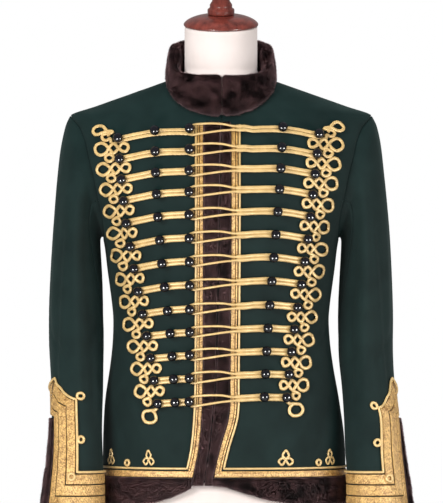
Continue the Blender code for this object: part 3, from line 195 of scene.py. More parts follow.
@lru_cache(maxsize=200000)
def body_reach(turn, z):
    """How far the cloth is from the body's upright axis."""
    a = math.radians(turn)
    half_width, front, back, power = section(z)
    half_width += flare(z) if math.sin(a) > 0 else 0.0
    across = abs(math.sin(a) / half_width) ** power
    reach = (across + abs(math.cos(a) / (front if math.cos(a) > 0 else back)) ** power) ** (-1 / power)
    for fold in BODY_FOLDS:
        reach += fold.height * bump(abs(turn) - fold.turn, fold.spread) * bump(z - fold.z, fold.reach)
    return reach + crease_height(turn, z)


def body_point(turn, z):
    reach = body_reach(turn, z)
    return Vector((reach * math.sin(math.radians(turn)), -reach * math.cos(math.radians(turn)), z))


def body_normal(turn, z):
    across = body_point(turn + 0.4, z) - body_point(turn - 0.4, z)
    up = body_point(turn, z + 1) - body_point(turn, z - 1)
    return across.cross(up).normalized()


def on_body(turn, z, height):
    return body_point(turn, z) + body_normal(turn, z) * height


def turn_at_x(x, z):
    """The turn at which the front is at x."""
    half_width, front, _, power = section(z)
    half_width += flare(z) if x > 0 else 0.0
    part = min(abs(x) / half_width, 1.0)
    depth = front * (1 - part**power) ** (1 / power)
    return math.degrees(math.atan2(x, depth))


def turn_at_depth(face, depth, z):
    """The turn, 0 to 180, at which the front or the back is this deep."""
    half_width, front, back, power = section(z)
    part = min(depth / (front if face == "front" else back), 1.0)
    turn = math.degrees(math.atan2(half_width * (1 - part**power) ** (1 / power), depth))
    return turn if face == "front" else 180 - turn


def on_front(x, z, height):
    return on_body(turn_at_x(x, z), z, height)


def arc_length(turn, z):
    """Millimetres along the surface for one degree of turn."""
    return (body_point(turn + 1, z) - body_point(turn - 1, z)).length / 2


def beside(spot, right, up, height):
    """A point at distances along the surface from a spot given as a turn and a height."""
    turn, z = spot
    return on_body(turn + right / arc_length(turn, z), z + up, height)


print("body sections:", len(SECTIONS), "creases:", len(BODY_CREASES))

# %% [markdown]
# ## Where the panels end
#
# The front edges lean as they do on the real jacket: nearly upright over the chest, and swinging apart
# below the last row. The hem, the armholes and the neckline are curves on the same surface.

# %% Edges of the body's panels
SEAM_GAP, ARMHOLE_GAP, SEWN_GAP = 0.3, 0.8, 0.3
BRAID_FOOT_Z = 704.0
LIFT = 0.9
HEM_LACE_Z = 172.0
ARMPIT_Z, SHOULDER_Z = 531.0, 722.0
ARMHOLE_MIDDLE_Z, ARMHOLE_HALF = (ARMPIT_Z + SHOULDER_Z) / 2, (SHOULDER_Z - ARMPIT_Z) / 2
ARMHOLE_DEPTHS = {"front": 68.0, "back": 78.0}
ARMHOLE_STEPS = 8
NECK_CORNER_Z, NECK_FRONT_Z = 775.0, 721.0
NECK_HALF_WIDTH = 78.0
HEM_FUR_SIDE_Z, HEM_FUR_RISE = 128.0, 32.0
HEM_FUR_PEAK_TURN, HEM_FUR_SPREAD_RIGHT, HEM_FUR_SPREAD_LEFT = -10.0, 24.0, 38.0
HEM_SHOW_THROUGH = 4.0
FRONT_EDGES = table(
    "z meeting fur_right fur_left",
    (130, -29.0, -45.5, -14.0), (172, -24.0, -42.0, -11.0), (215, -17.5, -33.5, -1.5),
    (265, -12.0, -28.9, 12.2), (318, -7.6, -27.4, 13.7), (516, -3.0, -26.6, 15.2), (725, 1.5, -26.6, 15.2),
)


@lru_cache(maxsize=None)
def front_edge(name, z):
    return read(FRONT_EDGES, name, z)


def hem_fur_z(turn):
    """The hem's lower edge, highest near the front and lower on the wearer's right than on the left."""
    aside = turn - HEM_FUR_PEAK_TURN
    spread = HEM_FUR_SPREAD_RIGHT if aside < 0 else HEM_FUR_SPREAD_LEFT
    return HEM_FUR_SIDE_Z + HEM_FUR_RISE * bump(aside, spread)


def armhole_z(step):
    return ARMHOLE_MIDDLE_Z - ARMHOLE_HALF * math.cos(math.pi * step / ARMHOLE_STEPS)


def armhole_turn(face, z):
    part = (z - ARMHOLE_MIDDLE_Z) / ARMHOLE_HALF
    return turn_at_depth(face, ARMHOLE_DEPTHS[face] * math.sqrt(max(1 - part**2, 0)), z)


def neck_z(angle):
    return NECK_CORNER_Z - (NECK_CORNER_Z - NECK_FRONT_Z) * math.cos(math.radians(angle))


def neck_x(z):
    part = (NECK_CORNER_Z - z) / (NECK_CORNER_Z - NECK_FRONT_Z)
    return NECK_HALF_WIDTH * math.sqrt(max(1 - part**2, 0))


def side_turn(face, z):
    """Where a front or a back ends: the side seam, the armhole or the shoulder seam."""
    if ARMPIT_Z < z < SHOULDER_Z:
        return armhole_turn(face, z)
    inside = -1 if face == "front" else 1
    return 90 + inside * math.degrees(SEAM_GAP / 2 / body_reach(90, z))


def inner_turn(side, face, z):
    """The turn of a panel's inner edge: the meeting line, the neckline or the seam down the back."""
    if face == "back":
        return 180 - math.degrees(SEAM_GAP / 2 / body_reach(180, z))
    x = side * (front_edge("meeting", z) + side * SEAM_GAP / 2)
    if z > NECK_FRONT_Z:
        x = max(x, neck_x(z))
    return side * turn_at_x(side * x, z)


# %% [markdown]
# ## A bench for meshes
#
# Every piece is a set of grids: rows of points across and along the real piece. One small class gathers
# them with their UVs in millimetres, which lets a weave or a twist follow the cloth or the cord instead of
# the world.

# %% The mesh bench
WELD = 0.002


class Piece:
    """Gathers grids and single triangles, and turns them into one object."""

    def __init__(self, name):
        self.name = name
        self.points = []
        self.faces = []
        self.uvs = []
        self.slots = []

    def grid(self, rows, uvs=None, slot=0, round_columns=False, round_rows=False, flip=False):
        """Faces between rows of points. A round grid closes on itself."""
        start, width = len(self.points), len(rows[0])
        for row in rows:
            self.points.extend(row)
        for r in range(len(rows) if round_rows else len(rows) - 1):
            for c in range(width if round_columns else width - 1):
                corners = [(r, c), (r, c + 1), (r + 1, c + 1), (r + 1, c)]
                if flip:
                    corners.reverse()
                self.faces.append([start + r2 % len(rows) * width + c2 % width for r2, c2 in corners])
                self.uvs.extend(uvs(r2, c2) if uvs else (c2, r2) for r2, c2 in corners)
                self.slots.append(slot)

    def cap(self, ring, slot=0):
        start = len(self.points)
        self.points.extend(ring)
        self.faces.append(list(range(start, start + len(ring))))
        self.uvs.extend((0.0, 0.0) for _ in ring)
        self.slots.append(slot)

    def caps(self, rows, slot=0):
        """Both ends of a tube that is wound like a turned piece."""
        self.cap(rows[0][::-1], slot)
        self.cap(rows[-1], slot)

    def blade(self, first, second, tip, shade):
        """One hair of a pile: V runs from its root to its tip, and U is its shade, its own plus its band's
        painted light.
        """
        start = len(self.points)
        self.points.extend((first, second, tip))
        self.faces.append([start, start + 1, start + 2])
        self.uvs.extend(((shade, 0.0), (shade, 0.0), (shade, 1.0)))
        self.slots.append(0)

    def make(self, materials, node, sharp=50, weld=True):
        data = bpy.data.meshes.new(self.name)
        data.from_pydata([tuple(value * MM for value in point) for point in self.points], [], self.faces)
        layer = data.uv_layers.new(name="Cloth")
        layer.data.foreach_set("uv", [value for pair in self.uvs for value in pair])
        data.polygons.foreach_set("material_index", self.slots)
        for material in materials:
            data.materials.append(material)
        shape = bmesh.new()
        shape.from_mesh(data)
        if weld:
            bmesh.ops.remove_doubles(shape, verts=shape.verts, dist=WELD * MM)
            bmesh.ops.recalc_face_normals(shape, faces=shape.faces)
        skin = sum(face.calc_area() for face in shape.faces)
        shape.to_mesh(data)
        shape.free()
        data.shade_smooth()
        data.set_sharp_from_angle(angle=math.radians(sharp))
        thing = bpy.data.objects.new(self.name, data)
        bpy.context.scene.collection.objects.link(thing)
        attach(thing, "root")
        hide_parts(node)
        print(self.name, "faces:", len(data.polygons), "skin in square metres:", round(skin, 3))
        return thing


# %% [markdown]
# ## Shader maths as plain expressions
#
# A wool fleck or a herringbone is a sum of simple waves. Wrapping a socket in a class lets the recipe be
# written like arithmetic, and each operator adds its Math node. Two colours are joined by a Mix node.

# %% Sockets with operators
class Wire:
    """A socket that can be added, multiplied and so on."""

    def __init__(self, recipe, socket):
        self.recipe = recipe
        self.socket = socket

    def math(self, operation, *values):
        return self.recipe.add("ShaderNodeMath", {"operation": operation}, dict(enumerate(values)))

    def __add__(self, other):
        return self.math("ADD", self, other)

    def __sub__(self, other):
        return self.math("SUBTRACT", self, other)

    def __rsub__(self, other):
        return self.math("SUBTRACT", other, self)

    def __mul__(self, other):
        return self.math("MULTIPLY", self, other)

    __radd__ = __add__
    __rmul__ = __mul__

    def wave(self):
        """A sine between 0 and 1."""
        return self.math("SINE", self) * 0.5 + 0.5

    def absolute(self):
        return self.math("ABSOLUTE", self)

    def fraction(self):
        return self.math("FRACT", self)

    def clamped(self):
        return self.recipe.add("ShaderNodeClamp", {}, {0: self})


class Recipe:
    """One finish: its material, and the nodes that feed its shader."""

    def __init__(self, name, **fixed):
        self.material = bpy.data.materials.new(name)
        self.material.use_nodes = True
        self.tree = self.material.node_tree
        self.shader = self.tree.nodes["Principled BSDF"]
        for socket, value in fixed.items():
            self.shader.inputs[socket.replace("_", " ")].default_value = value

    def put(self, socket, value):
        if isinstance(value, Wire):
            self.tree.links.new(value.socket, socket)
        else:
            socket.default_value = value

    def add(self, kind, settings, values, output=0):
        """A node with its settings made first, then its sockets; returns one of its outputs."""
        node = self.tree.nodes.new(kind)
        for name, value in settings.items():
            setattr(node, name, value)
        for socket, value in values.items():
            self.put(node.inputs[socket], value)
        return Wire(self, node.outputs[output])

    def mix(self, share, first, second):
        """A colour between two colours."""
        sockets = {0: share, 6: (*first, 1), 7: (*second, 1)}
        return self.add("ShaderNodeMix", {"data_type": "RGBA"}, sockets, 2)

    def cloth(self):
        """Across and along a piece, in millimetres, from its UVs."""
        uv = self.add("ShaderNodeUVMap", {"uv_map": "Cloth"}, {})
        split = self.tree.nodes.new("ShaderNodeSeparateXYZ")
        self.put(split.inputs[0], uv)
        return Wire(self, split.outputs[0]), Wire(self, split.outputs[1])

    def speckle(self, size_mm, detail=2.0, stretch=None):
        """Noise of a given size over the whole object, 0 to 1."""
        place = self.add("ShaderNodeTexCoord", {}, {}, "Object")
        if stretch:
            place = self.add("ShaderNodeVectorMath", {"operation": "MULTIPLY"}, {0: place, 1: stretch})
        sockets = {"Vector": place, "Scale": 1 / (size_mm * MM), "Detail": detail}
        return self.add("ShaderNodeTexNoise", {}, sockets)

    def finish(self, colour, roughness, height=None, depth_mm=0.1, strength=1.0):
        self.put(self.shader.inputs["Base Color"], colour)
        self.put(self.shader.inputs["Roughness"], roughness)
        if height is not None:
            sockets = {"Strength": strength, "Distance": depth_mm * MM, "Height": height}
            relief = self.add("ShaderNodeBump", {}, sockets)
            self.put(self.shader.inputs["Normal"], relief)
        print("finish:", self.material.name)
        return self.material


# %% [markdown]
# ## Wool
#
# Melton is a fulled twill: the weave is nearly closed over by a short nap. What the eye gets is a dark,
# soft ground with fine flecks, a little lighter where the nap stands up, so the recipe is noise at two
# sizes and a faint twill.

# %% Wool and its recipe
def wool_finish():
    sheen = {"Sheen_Weight": 0.06, "Sheen_Roughness": 0.5, "Sheen_Tint": (0.45, 0.62, 0.58, 1)}
    wool = Recipe("bottle_green_melton", Specular_IOR_Level=0.12, **sheen)
    across, down = wool.cloth()
    nap = wool.speckle(0.55, 3.0)
    patch = wool.speckle(45.0)
    twill = ((across + down) * 3.6).wave()
    tone = nap * 0.45 + patch * 0.6 + twill * 0.1 - 0.08
    colour = wool.mix((tone * 1.7 - 0.35).clamped(), (0.0034, 0.0100, 0.0095), (0.0112, 0.0262, 0.0245))
    return wool.finish(colour, nap * 0.12 + 0.84, nap + twill * 0.35, 0.12, 0.6)


WOOL = wool_finish()

# %% [markdown]
# ## Gold lace and gold cord
#
# The lace is woven in a herringbone that changes direction every few threads. The cord is several fine
# threads twisted together, so its recipe draws diagonal strands by the cord's own length, over the twist
# that its mesh has.

# %% Lace and cord
def lace_finish():
    lace = Recipe("gold_lace", Metallic=0.12, Specular_IOR_Level=0.6)
    across, down = lace.cloth()
    zigzag = ((across * 0.28).fraction() - 0.5).absolute() * 6.0
    thread = ((down + zigzag) * 1.6).wave()
    cross = (across * 4.4).wave()
    fleck = lace.speckle(2.3)
    tone = thread * 0.45 + cross * 0.1 + fleck * 2.4 + lace.speckle(9.0) - 1.47
    colour = lace.mix(tone.clamped(), (0.240, 0.098, 0.016), (0.90, 0.57, 0.190))
    return lace.finish(colour, thread * -0.15 + 0.6, thread + fleck * 1.4, 0.35, 0.9)


def cord_finish():
    cord = Recipe("gold_cord", Metallic=0.12, Specular_IOR_Level=0.6)
    across, down = cord.cloth()
    strand = ((across * 2.0 - down * 0.16) * (math.tau * 2)).wave()
    thread = ((across * 9.0 + down * 0.9) * math.tau).wave()
    tone = strand * 0.35 + thread * 0.2 + cord.speckle(9.0) * 0.55
    colour = cord.mix((tone * 1.3 - 0.15).clamped(), (0.36, 0.200, 0.055), (0.88, 0.63, 0.270))
    return cord.finish(colour, thread * -0.12 + 0.56, strand * 0.6 + thread * 0.4, 0.2, 0.6)


LACE_GOLD, CORD_GOLD = lace_finish(), cord_finish()

# %% [markdown]
# ## Fur, buttons, jersey and varnished wood
#
# The fur's hairs carry their own shade in U, with their band's painted light added, and their root-to-tip run
# in V, so one recipe gives dark roots and paler tips. The buttons are black glass-like balls with a navy
# tint, and the wood is dark red under a clear varnish.

# %% Fur, button, jersey and wood
def fur_finish():
    sheen = {"Sheen_Weight": 0.42, "Sheen_Roughness": 0.55, "Sheen_Tint": (0.80, 0.56, 0.58, 1)}
    fur = Recipe("brown_plush_fur", Specular_IOR_Level=0.2, **sheen)
    shade, tip = fur.cloth()
    # U lifts the colour with each hair's own shade and with its band's painted light.
    tone = fur.speckle(19.0, 1.5) * 3.0 + shade * 0.5 + tip * 0.3 - 1.42
    colour = fur.mix(tone.clamped(), (0.0130, 0.0055, 0.0060), (0.330, 0.165, 0.168))
    return fur.finish(colour, 0.62, fur.speckle(1.2), 0.5, 0.5)


def button_finish():
    button = Recipe("black_ball_button", Specular_IOR_Level=0.55)
    cloud = button.speckle(5.0, 3.0)
    colour = button.mix(cloud, (0.0014, 0.0014, 0.0034), (0.0030, 0.0030, 0.0072))
    return button.finish(colour, cloud * 0.03 + 0.1)


def jersey_finish():
    jersey = Recipe("cream_jersey", Sheen_Weight=0.15, Sheen_Roughness=0.5, Specular_IOR_Level=0.2)
    across, down = jersey.cloth()
    rib = (across * 4.2).wave()
    stitch = ((down + (across * 0.668).fraction()) * 5.0).wave()
    colour = jersey.mix(jersey.speckle(38.0), (0.76, 0.655, 0.61), (0.87, 0.775, 0.735))
    return jersey.finish(colour, 0.8, rib * 0.6 + stitch * 0.4, 0.1, 0.5)


def wood_finish():
    wood = Recipe("red_varnished_wood", Coat_Weight=0.35, Coat_Roughness=0.12, Specular_IOR_Level=0.3)
    grain = wood.speckle(9.0, 5.0, (1.0, 1.0, 0.16))
    pore = wood.speckle(1.6, 2.0, (1.0, 1.0, 0.1))
    tone = grain * 0.8 + pore * 0.3
    colour = wood.mix((tone * 1.8 - 0.55).clamped(), (0.050, 0.0080, 0.0060), (0.27, 0.055, 0.038))
    return wood.finish(colour, pore * 0.1 + 0.24, pore, 0.04, 0.4)


FUR, BUTTON, JERSEY, WOOD = fur_finish(), button_finish(), jersey_finish(), wood_finish()

# %% [markdown]
# ## The wool panels
#
# Each front and each half of the back is one cut of wool. It is a thin closed wall that follows the body,
# with a shallow valley where two cuts are sewn together. Columns crowd towards the seams so that the valley
# is in the mesh.

# %% Rows and columns of a panel
CLOTH_THICK = 2.0
SEAM_DEPTH, SEAM_SPREAD, SEAM_COLUMNS = 1.2, 1.8, (0.0, 0.7, 1.6, 3.0, 5.0)
PANEL_WIDTH, PANEL_COLUMNS, PANEL_SEAM_FADE = 200.0, 44, 25
SKIRT_ROWS, ROWS_A_STEP, NECK_ROW_ANGLES = 80, 5, range(12, 91, 6)


def seamed_shares(width, count):
    """Shares across a panel of this width, crowded at both seams."""
    edge = [distance / width for distance in SEAM_COLUMNS]
    inside = [blend(edge[-1], 1 - edge[-1], k / count) for k in range(1, count)]
    return edge + inside + [1 - share for share in edge[::-1]]


def seam_valley(share, width):
    return -SEAM_DEPTH * bump(min(share, 1 - share) * width, SEAM_SPREAD)


def drape(point, reach):
    """The slight unevenness that any hanging cloth has, in long upright waves."""
    return reach * noise.noise(Vector((point.x / DRAPE_WIDTH, point.y / DRAPE_WIDTH, point.z / DRAPE_HEIGHT)))


def loose(turn, z):
    """1 where the cloth hangs free and 0 under the rows of cord, which hold it flat."""
    aside = ramp(abs(turn), FROGGED_TURN, FROGGED_TURN + FROGGED_TURN_FADE)
    return max(aside, ramp(-z, -FROGGED_Z, FROGGED_Z_FADE - FROGGED_Z))


def panel_rows():
    skirt = [blend(HEM_LACE_Z, ARMPIT_Z, k / SKIRT_ROWS) for k in range(SKIRT_ROWS)]
    armhole = [armhole_z(k / ROWS_A_STEP) for k in range(ROWS_A_STEP * ARMHOLE_STEPS + 1)]
    return skirt + armhole + [neck_z(angle) for angle in NECK_ROW_ANGLES]


def cut(name, rows, shares, width, heights, both_faces, backwards):
    """One cut of wool: a closed wall over a grid of places, each given as its outer and its inner point."""
    pairs = [[both_faces(row, share) for share in shares] for row in rows]
    if backwards:
        pairs = [row[::-1] for row in pairs]
    outer, inner = ([[pair[k] for pair in row] for row in pairs] for k in (0, 1))
    piece = Piece(f"cloth_{name}")
    for grid, flip in ((outer, False), (inner, True)):
        piece.grid(grid, lambda r, c: (width * shares[c], heights[r]), flip=flip)
    for row in (0, -1):
        piece.grid([outer[row], inner[row]], flip=row == 0)
    for side in (0, -1):
        piece.grid([[row[side] for row in outer], [row[side] for row in inner]], flip=side != 0)
    return piece.make([WOOL], name)


def panel(side, face):
    """A front or half a back, from its inner edge to its side seam, armhole and shoulder seam."""

    def both_faces(z, share):
        level = z or HEM_FUR_SIDE_Z
        turn = blend(inner_turn(side, face, level), side_turn(face, level), share)
        height = z or hem_fur_z(side * turn) + HEM_SHOW_THROUGH
        point, normal = body_point(side * turn, height), body_normal(side * turn, height)
        wave = drape(point, blend(DRAPE, LOOSE_DRAPE, loose(turn, height)))
        fade = ramp(min(share, 1 - share) * PANEL_WIDTH, 0, PANEL_SEAM_FADE)
        lift = wave * fade + seam_valley(share, PANEL_WIDTH)
        return point + normal * lift, point + normal * (lift - CLOTH_THICK)

    rows = [None] + panel_rows()
    shares = seamed_shares(PANEL_WIDTH, PANEL_COLUMNS)
    heights = [z or HEM_FUR_SIDE_Z for z in rows]
    return cut(f"{face}_{SIDES[side]}", rows, shares, PANEL_WIDTH, heights, both_faces, side == RIGHT)


# %% Cut the fronts and the back
for side in SIDES:
    for face in ("front", "back"):
        panel(side, face)

# %% [markdown]
# ## The sleeves
#
# A two-piece sleeve is a top half and a narrower under half, bent forward at the elbow and slit at the
# cuff. Its surface is a stack of rings; a place counts the rings from the armhole, and an angle goes round
# each of them.

# %% The sleeve's rings and folds
SLEEVE_RINGS = table(
    "inner_x inner_z outer_x outer_z centre_y half_depth seam in_splay out_splay twist",
    (178.2, 531.4, 231.0, 721.6, 5.0, 73, -90, 0, 0, 0),
    (179.4, 534.2, 238.5, 703.0, 5.0, 75, -88, 0, 0, 0),
    (181.4, 535.2, 246.0, 668.0, 4.5, 76, -85, 0, 0, 0),
    (183.4, 533.6, 251.5, 622.0, 4.0, 76, -81, 0, 0, 0),
    (184.2, 527.0, 255.5, 572.0, 3.5, 76, -75, 0, 0, 0),
    (183.5, 508.0, 259.0, 523.0, 3.0, 75, -67, 0, 0, 0),
    (181.5, 470.0, 261.5, 470.0, 1.5, 73.5, -55, 0, 0, 0),
    (179.5, 415.0, 263.0, 415.0, -3.0, 71, -38, 0, 0, 0),
    (179.0, 360.0, 261.7, 360.0, -14.5, 66, -10, 1, 1, 0),
    (179.4, 310.0, 259.0, 310.0, -31.0, 61, 3, 5, 6, -6),
    (180.5, 262.0, 257.5, 262.0, -48.0, 57.5, 5, 6.5, 12, -18),
    (180.0, 210.0, 258.3, 210.0, -65.5, 55.5, 7, 9, 16, -17),
    (178.3, 160.0, 263.0, 160.0, -80.5, 55, 8, 14, 17, -16.5),
    (178.0, 109.0, 269.0, 109.0, -93.5, 55, 8, 13, 17, -16),
)
LEVEL_RING, LAST_RING = 6, len(SLEEVE_RINGS) - 1
SLEEVE_TURNS = 16
REAR_SEAM, FRONT_SEAM = 4, 5
SLEEVE_RADIUS, CUFF_RADIUS = 58.0, 46.0
SLIT_TOP_Z, SLIT_HALF_AT_HEM = 262.0, 7.0
CUFF_FUR_BOTTOM_Z = 105.0
SLEEVE_HEAD_PLACES = (0.0, 0.04, 0.1, 0.2, 0.32, 0.46, 0.6, 0.75, 0.9)
SLEEVE_ROWS, SLEEVE_COLUMNS = 104, {"top": 34, "under": 26}
SLEEVE_SEAM_FADE, SLEEVE_HEAD_SPREAD = 20, 0.06
SLEEVE_FOLDS = table(
    "angle spread top bottom height",
    (90, 20, 600, 320, 3.0), (132, 18, 580, 330, -4.0), (48, 16, 580, 340, -2.0), (-60, 20, 610, 340, 2.5),
    (-105, 20, 590, 330, -4.0), (-145, 18, 560, 330, 2.5),
)
# Sharper creases of the sleeve, whose angle drifts on the way down.
SLEEVE_CREASES = table(
    "top_angle low_angle top_z low_z spread height",
    (88, 98, 600, 300, 8, 1.6), (108, 132, 590, 300, 8, -1.9), (70, 49, 540, 300, 6, 1.5),
    (61, 40, 530, 310, 6, -1.3), (24, 34, 600, 430, 8, 1.2), (20, 66, 392, 352, 7, -1.4),
    (150, 118, 402, 368, 7, -1.6), (-40, -62, 600, 380, 8, -1.6), (-88, -70, 560, 330, 8, 1.8),
    (-122, -150, 540, 350, 9, -1.6), (-30, -74, 396, 362, 7, -1.5), (60, 64, 290, 210, 9, -0.9),
)


@lru_cache(maxsize=None)
def sleeve_value(name, place):
    return along(range(len(SLEEVE_RINGS)), column(SLEEVE_RINGS, name), place)


def sleeve_place(z):
    """The place of a level ring by its height."""
    for k in range(LEVEL_RING, LAST_RING):
        high, low = SLEEVE_RINGS[k].outer_z, SLEEVE_RINGS[k + 1].outer_z
        if z >= low or k == LAST_RING - 1:
            return k + (high - z) / (high - low)


def angle_apart(angle, other):
    return (angle - other + 180) % 360 - 180


def sleeve_lift(angle, z):
    """What the folds and creases add to the sleeve's surface."""
    lift = 0.0
    for fold in SLEEVE_FOLDS:
        fade = bump(z - (fold.top + fold.bottom) / 2, (fold.top - fold.bottom) / 2)
        lift += fold.height * bump(angle_apart(angle, fold.angle), fold.spread) * fade
    for crease in SLEEVE_CREASES:
        share, near, past = crease_at(crease, z)
        if -SLEEVE_CREASE_REACH < share < 1 + SLEEVE_CREASE_REACH:
            apart = angle_apart(angle, blend(crease.low_angle, crease.top_angle, near))
            lift += CREASE_DEPTH * crease.height * bump(apart, crease.spread) * bump(past, SLEEVE_CREASE_FADE)
    return lift


def seam_angle(side, place):
    return sleeve_value("seam", place) + (sleeve_value("twist", place) if side == LEFT else 0.0)


def sleeve_point(side, angle, place):
    """The sleeve's surface; the angle is 0 outermost and 90 at the front."""
    a = math.radians(angle)
    more = 1 if side == LEFT else 0
    inner_x = sleeve_value("inner_x", place) + more * sleeve_value("in_splay", place)
    outer_x = sleeve_value("outer_x", place) + more * sleeve_value("out_splay", place)
    inner = Vector((inner_x, 0, sleeve_value("inner_z", place)))
    outer = Vector((outer_x, 0, sleeve_value("outer_z", place)))
    forward = Vector((0, -sleeve_value("half_depth", place) * math.sin(a), 0))
    offset = (outer - inner) / 2 * math.cos(a) + forward
    point = (outer + inner) / 2 + offset
    point += offset.normalized() * sleeve_lift(angle, point.z)
    point.y += sleeve_value("centre_y", place)
    point.x *= side
    return point


def sleeve_normal(side, angle, place):
    across = sleeve_point(side, angle + 1, place) - sleeve_point(side, angle - 1, place)
    low, high = max(place - 0.1, 0), min(place + 0.1, LAST_RING)
    down = sleeve_point(side, angle, high) - sleeve_point(side, angle, low)
    return across.cross(down).normalized() * side


def on_sleeve(side, angle, place, height):
    return sleeve_point(side, angle, place) + sleeve_normal(side, angle, place) * height


def slit_half(z):
    return SEAM_GAP / 2 + SLIT_HALF_AT_HEM * clamp((SLIT_TOP_Z - z) / (SLIT_TOP_Z - CUFF_FUR_BOTTOM_Z))


# %% The armhole's edge and the sleeve's cloth
def armhole_spot(side, step):
    """A place on the armhole, counted from the shoulder round the front."""
    step %= SLEEVE_TURNS
    front = step <= ARMHOLE_STEPS
    z = armhole_z(ARMHOLE_STEPS - step if front else step - ARMHOLE_STEPS)
    return side * armhole_turn("front" if front else "back", z), z


def armhole_point(side, step, height):
    turn, z = armhole_spot(side, step)
    normal = body_normal(turn, z)
    tangent = body_point(*armhole_spot(side, step + 0.1)) - body_point(*armhole_spot(side, step - 0.1))
    away = normal.cross(tangent).normalized() * ARMHOLE_GAP * side
    return body_point(turn, z) + away + normal * height


def sleeve_cloth(side, step, place, shift, height):
    """A point of the sleeve by its step round, its place down and a shift in millimetres along its ring."""
    start_angle = step * 360 / SLEEVE_TURNS
    shift_angle = math.degrees(shift / sleeve_value("half_depth", place))
    angle = start_angle + seam_angle(side, place) + 90 + shift_angle
    point = on_sleeve(side, angle, place, height)
    if place < 1:
        to_armhole = armhole_point(side, step, height) - on_sleeve(side, start_angle, 0, height)
        point += to_armhole * (1 - place) ** 2
    return point


def sleeve_half(side, half):
    first, last = (-REAR_SEAM, FRONT_SEAM) if half == "top" else (FRONT_SEAM, SLEEVE_TURNS - REAR_SEAM)
    width = (last - first) / SLEEVE_TURNS * math.tau * SLEEVE_RADIUS

    def both_faces(place, share):
        slit = slit_half(sleeve_value("outer_z", place))
        start, end = (slit, SEAM_GAP / 2) if half == "top" else (SEAM_GAP / 2, slit)
        shift, step = blend(start, -end, share), blend(first, last, share)
        lift = seam_valley(share, width) - SEAM_DEPTH * bump(place, SLEEVE_HEAD_SPREAD)
        wave = drape(sleeve_cloth(side, step, place, shift, 0.0), LOOSE_DRAPE)
        lift += wave * ramp(min(share, 1 - share) * width, 0, SLEEVE_SEAM_FADE) * ramp(place, 0, 1)
        return [sleeve_cloth(side, step, place, shift, height) for height in (lift, lift - CLOTH_THICK)]

    shares = seamed_shares(width, SLEEVE_COLUMNS[half])
    rows = [*SLEEVE_HEAD_PLACES, *(blend(1.0, LAST_RING, k / SLEEVE_ROWS) for k in range(SLEEVE_ROWS + 1))]
    heights = [sleeve_value("outer_z", place) for place in rows]
    return cut(f"sleeve_{half}_{SIDES[side]}", rows, shares, width, heights, both_faces, side == LEFT)


# %% Cut the sleeves
for side in SIDES:
    for half in ("top", "under"):
        sleeve_half(side, half)

# %% [markdown]
# ## Paths for cord and lace
#
# A cord or a band of lace is drawn as a few places on the cloth and rounded into a smooth line. A cord is a
# tube whose section turns as it goes, which gives two twisted plies; lace is a low flat band.

# %% Smooth lines, cords and lace
CORD_SIDES = 10
PLY_RELIEF, PLY_PITCH = 0.07, 6.0
LACE_HEIGHT = 1.5
# Across a band of lace: how far over, and how high as a share of its height.
LACE_PROFILE = (
    (0.0, 0.0), (0.03, 0.75), (0.1, 1.0), (0.3, 1.0), (0.5, 0.93), (0.7, 1.0), (0.9, 1.0), (0.97, 0.75),
    (1.0, 0.0),
)


def smooth(points, step, closed=False):
    """Points at about even steps along a curve through all the given points."""
    points = [Vector(point) for point in points]
    count = len(points)
    line = []
    for k in range(count if closed else count - 1):
        near = [(k + j) % count if closed else min(max(k + j, 0), count - 1) for j in (-1, 0, 1, 2)]
        before, start, end, after = (points[n] for n in near)
        pull = 2 * before - 5 * start + 4 * end - after
        turn = 3 * start - 3 * end + after - before
        pieces = max(2, round((end - start).length / step))
        for t in (j / pieces for j in range(pieces)):
            line.append(0.5 * (2 * start + (end - before) * t + pull * t * t + turn * t**3))
    return line if closed else line + [points[-1]]


def add_cord(piece, spots, normals, radius, slot=0, closed=False, flat=1.0):
    """A twisted cord along a line of points; its ends are closed unless it runs into itself."""
    rows, lengths, length = [], [0.0], 0.0
    count = len(spots)
    for k in range(count):
        before = spots[k - 1] if closed or k else spots[0]
        after = spots[(k + 1) % count] if closed or k < count - 1 else spots[-1]
        if k:
            length += (spots[k] - spots[k - 1]).length
            lengths.append(length)
        tangent = (after - before).normalized()
        side = tangent.cross(normals[k]).normalized()
        up = side.cross(tangent).normalized()
        row = []
        for j in range(CORD_SIDES):
            a = math.tau * j / CORD_SIDES
            ply = radius * (1 + PLY_RELIEF * math.cos(2 * (a - math.tau * length / PLY_PITCH / 2)))
            row.append(spots[k] + side * (math.cos(a) * ply) + up * (math.sin(a) * ply * flat))
        rows.append(row)
    lengths.append(length + (spots[0] - spots[-1]).length)

    def uvs(r, c):
        return c / CORD_SIDES, lengths[r]

    piece.grid(rows, uvs, slot, round_columns=True, round_rows=closed, flip=True)
    if not closed:
        piece.cap(rows[0], slot)
        piece.cap(rows[-1][::-1], slot)


def add_closed_cord(piece, spots, normal, radius, slot=0, flat=1.0):
    add_cord(piece, spots, [normal] * len(spots), radius, slot, closed=True, flat=flat)


def add_laid_cord(piece, laid, radius):
    add_cord(piece, [point for point, _ in laid], [normal for _, normal in laid], radius, 1)


def add_lace(piece, edges):
    """A low woven band between two lines of (point, normal), with soft rounded edges."""
    rows, lengths, length, before = [], [], 0.0, None
    for (first, first_normal), (second, second_normal) in edges:
        middle = (first + second) / 2
        length += (middle - before).length if before else 0.0
        before = middle
        lengths.append(length)
        row = []
        for share, rise in LACE_PROFILE:
            normal = first_normal.lerp(second_normal, share)
            row.append(first.lerp(second, share) + normal * (rise * LACE_HEIGHT))
        rows.append(row)
    width = (edges[0][1][0] - edges[0][0][0]).length
    piece.grid(rows, lambda r, c: (LACE_PROFILE[c][0] * width, lengths[r]))
    piece.grid([[row[-1] for row in rows], [row[0] for row in rows]], flip=True)
    piece.caps(rows)


# %% [markdown]
# ## Rows of frogging
#
# Thirteen rows cross the chest. Each is two cords side by side, held down by ball buttons in columns. On
# the wearer's left they end in a loop that passes over the fur and closes round the inner button on the
# wearer's right.

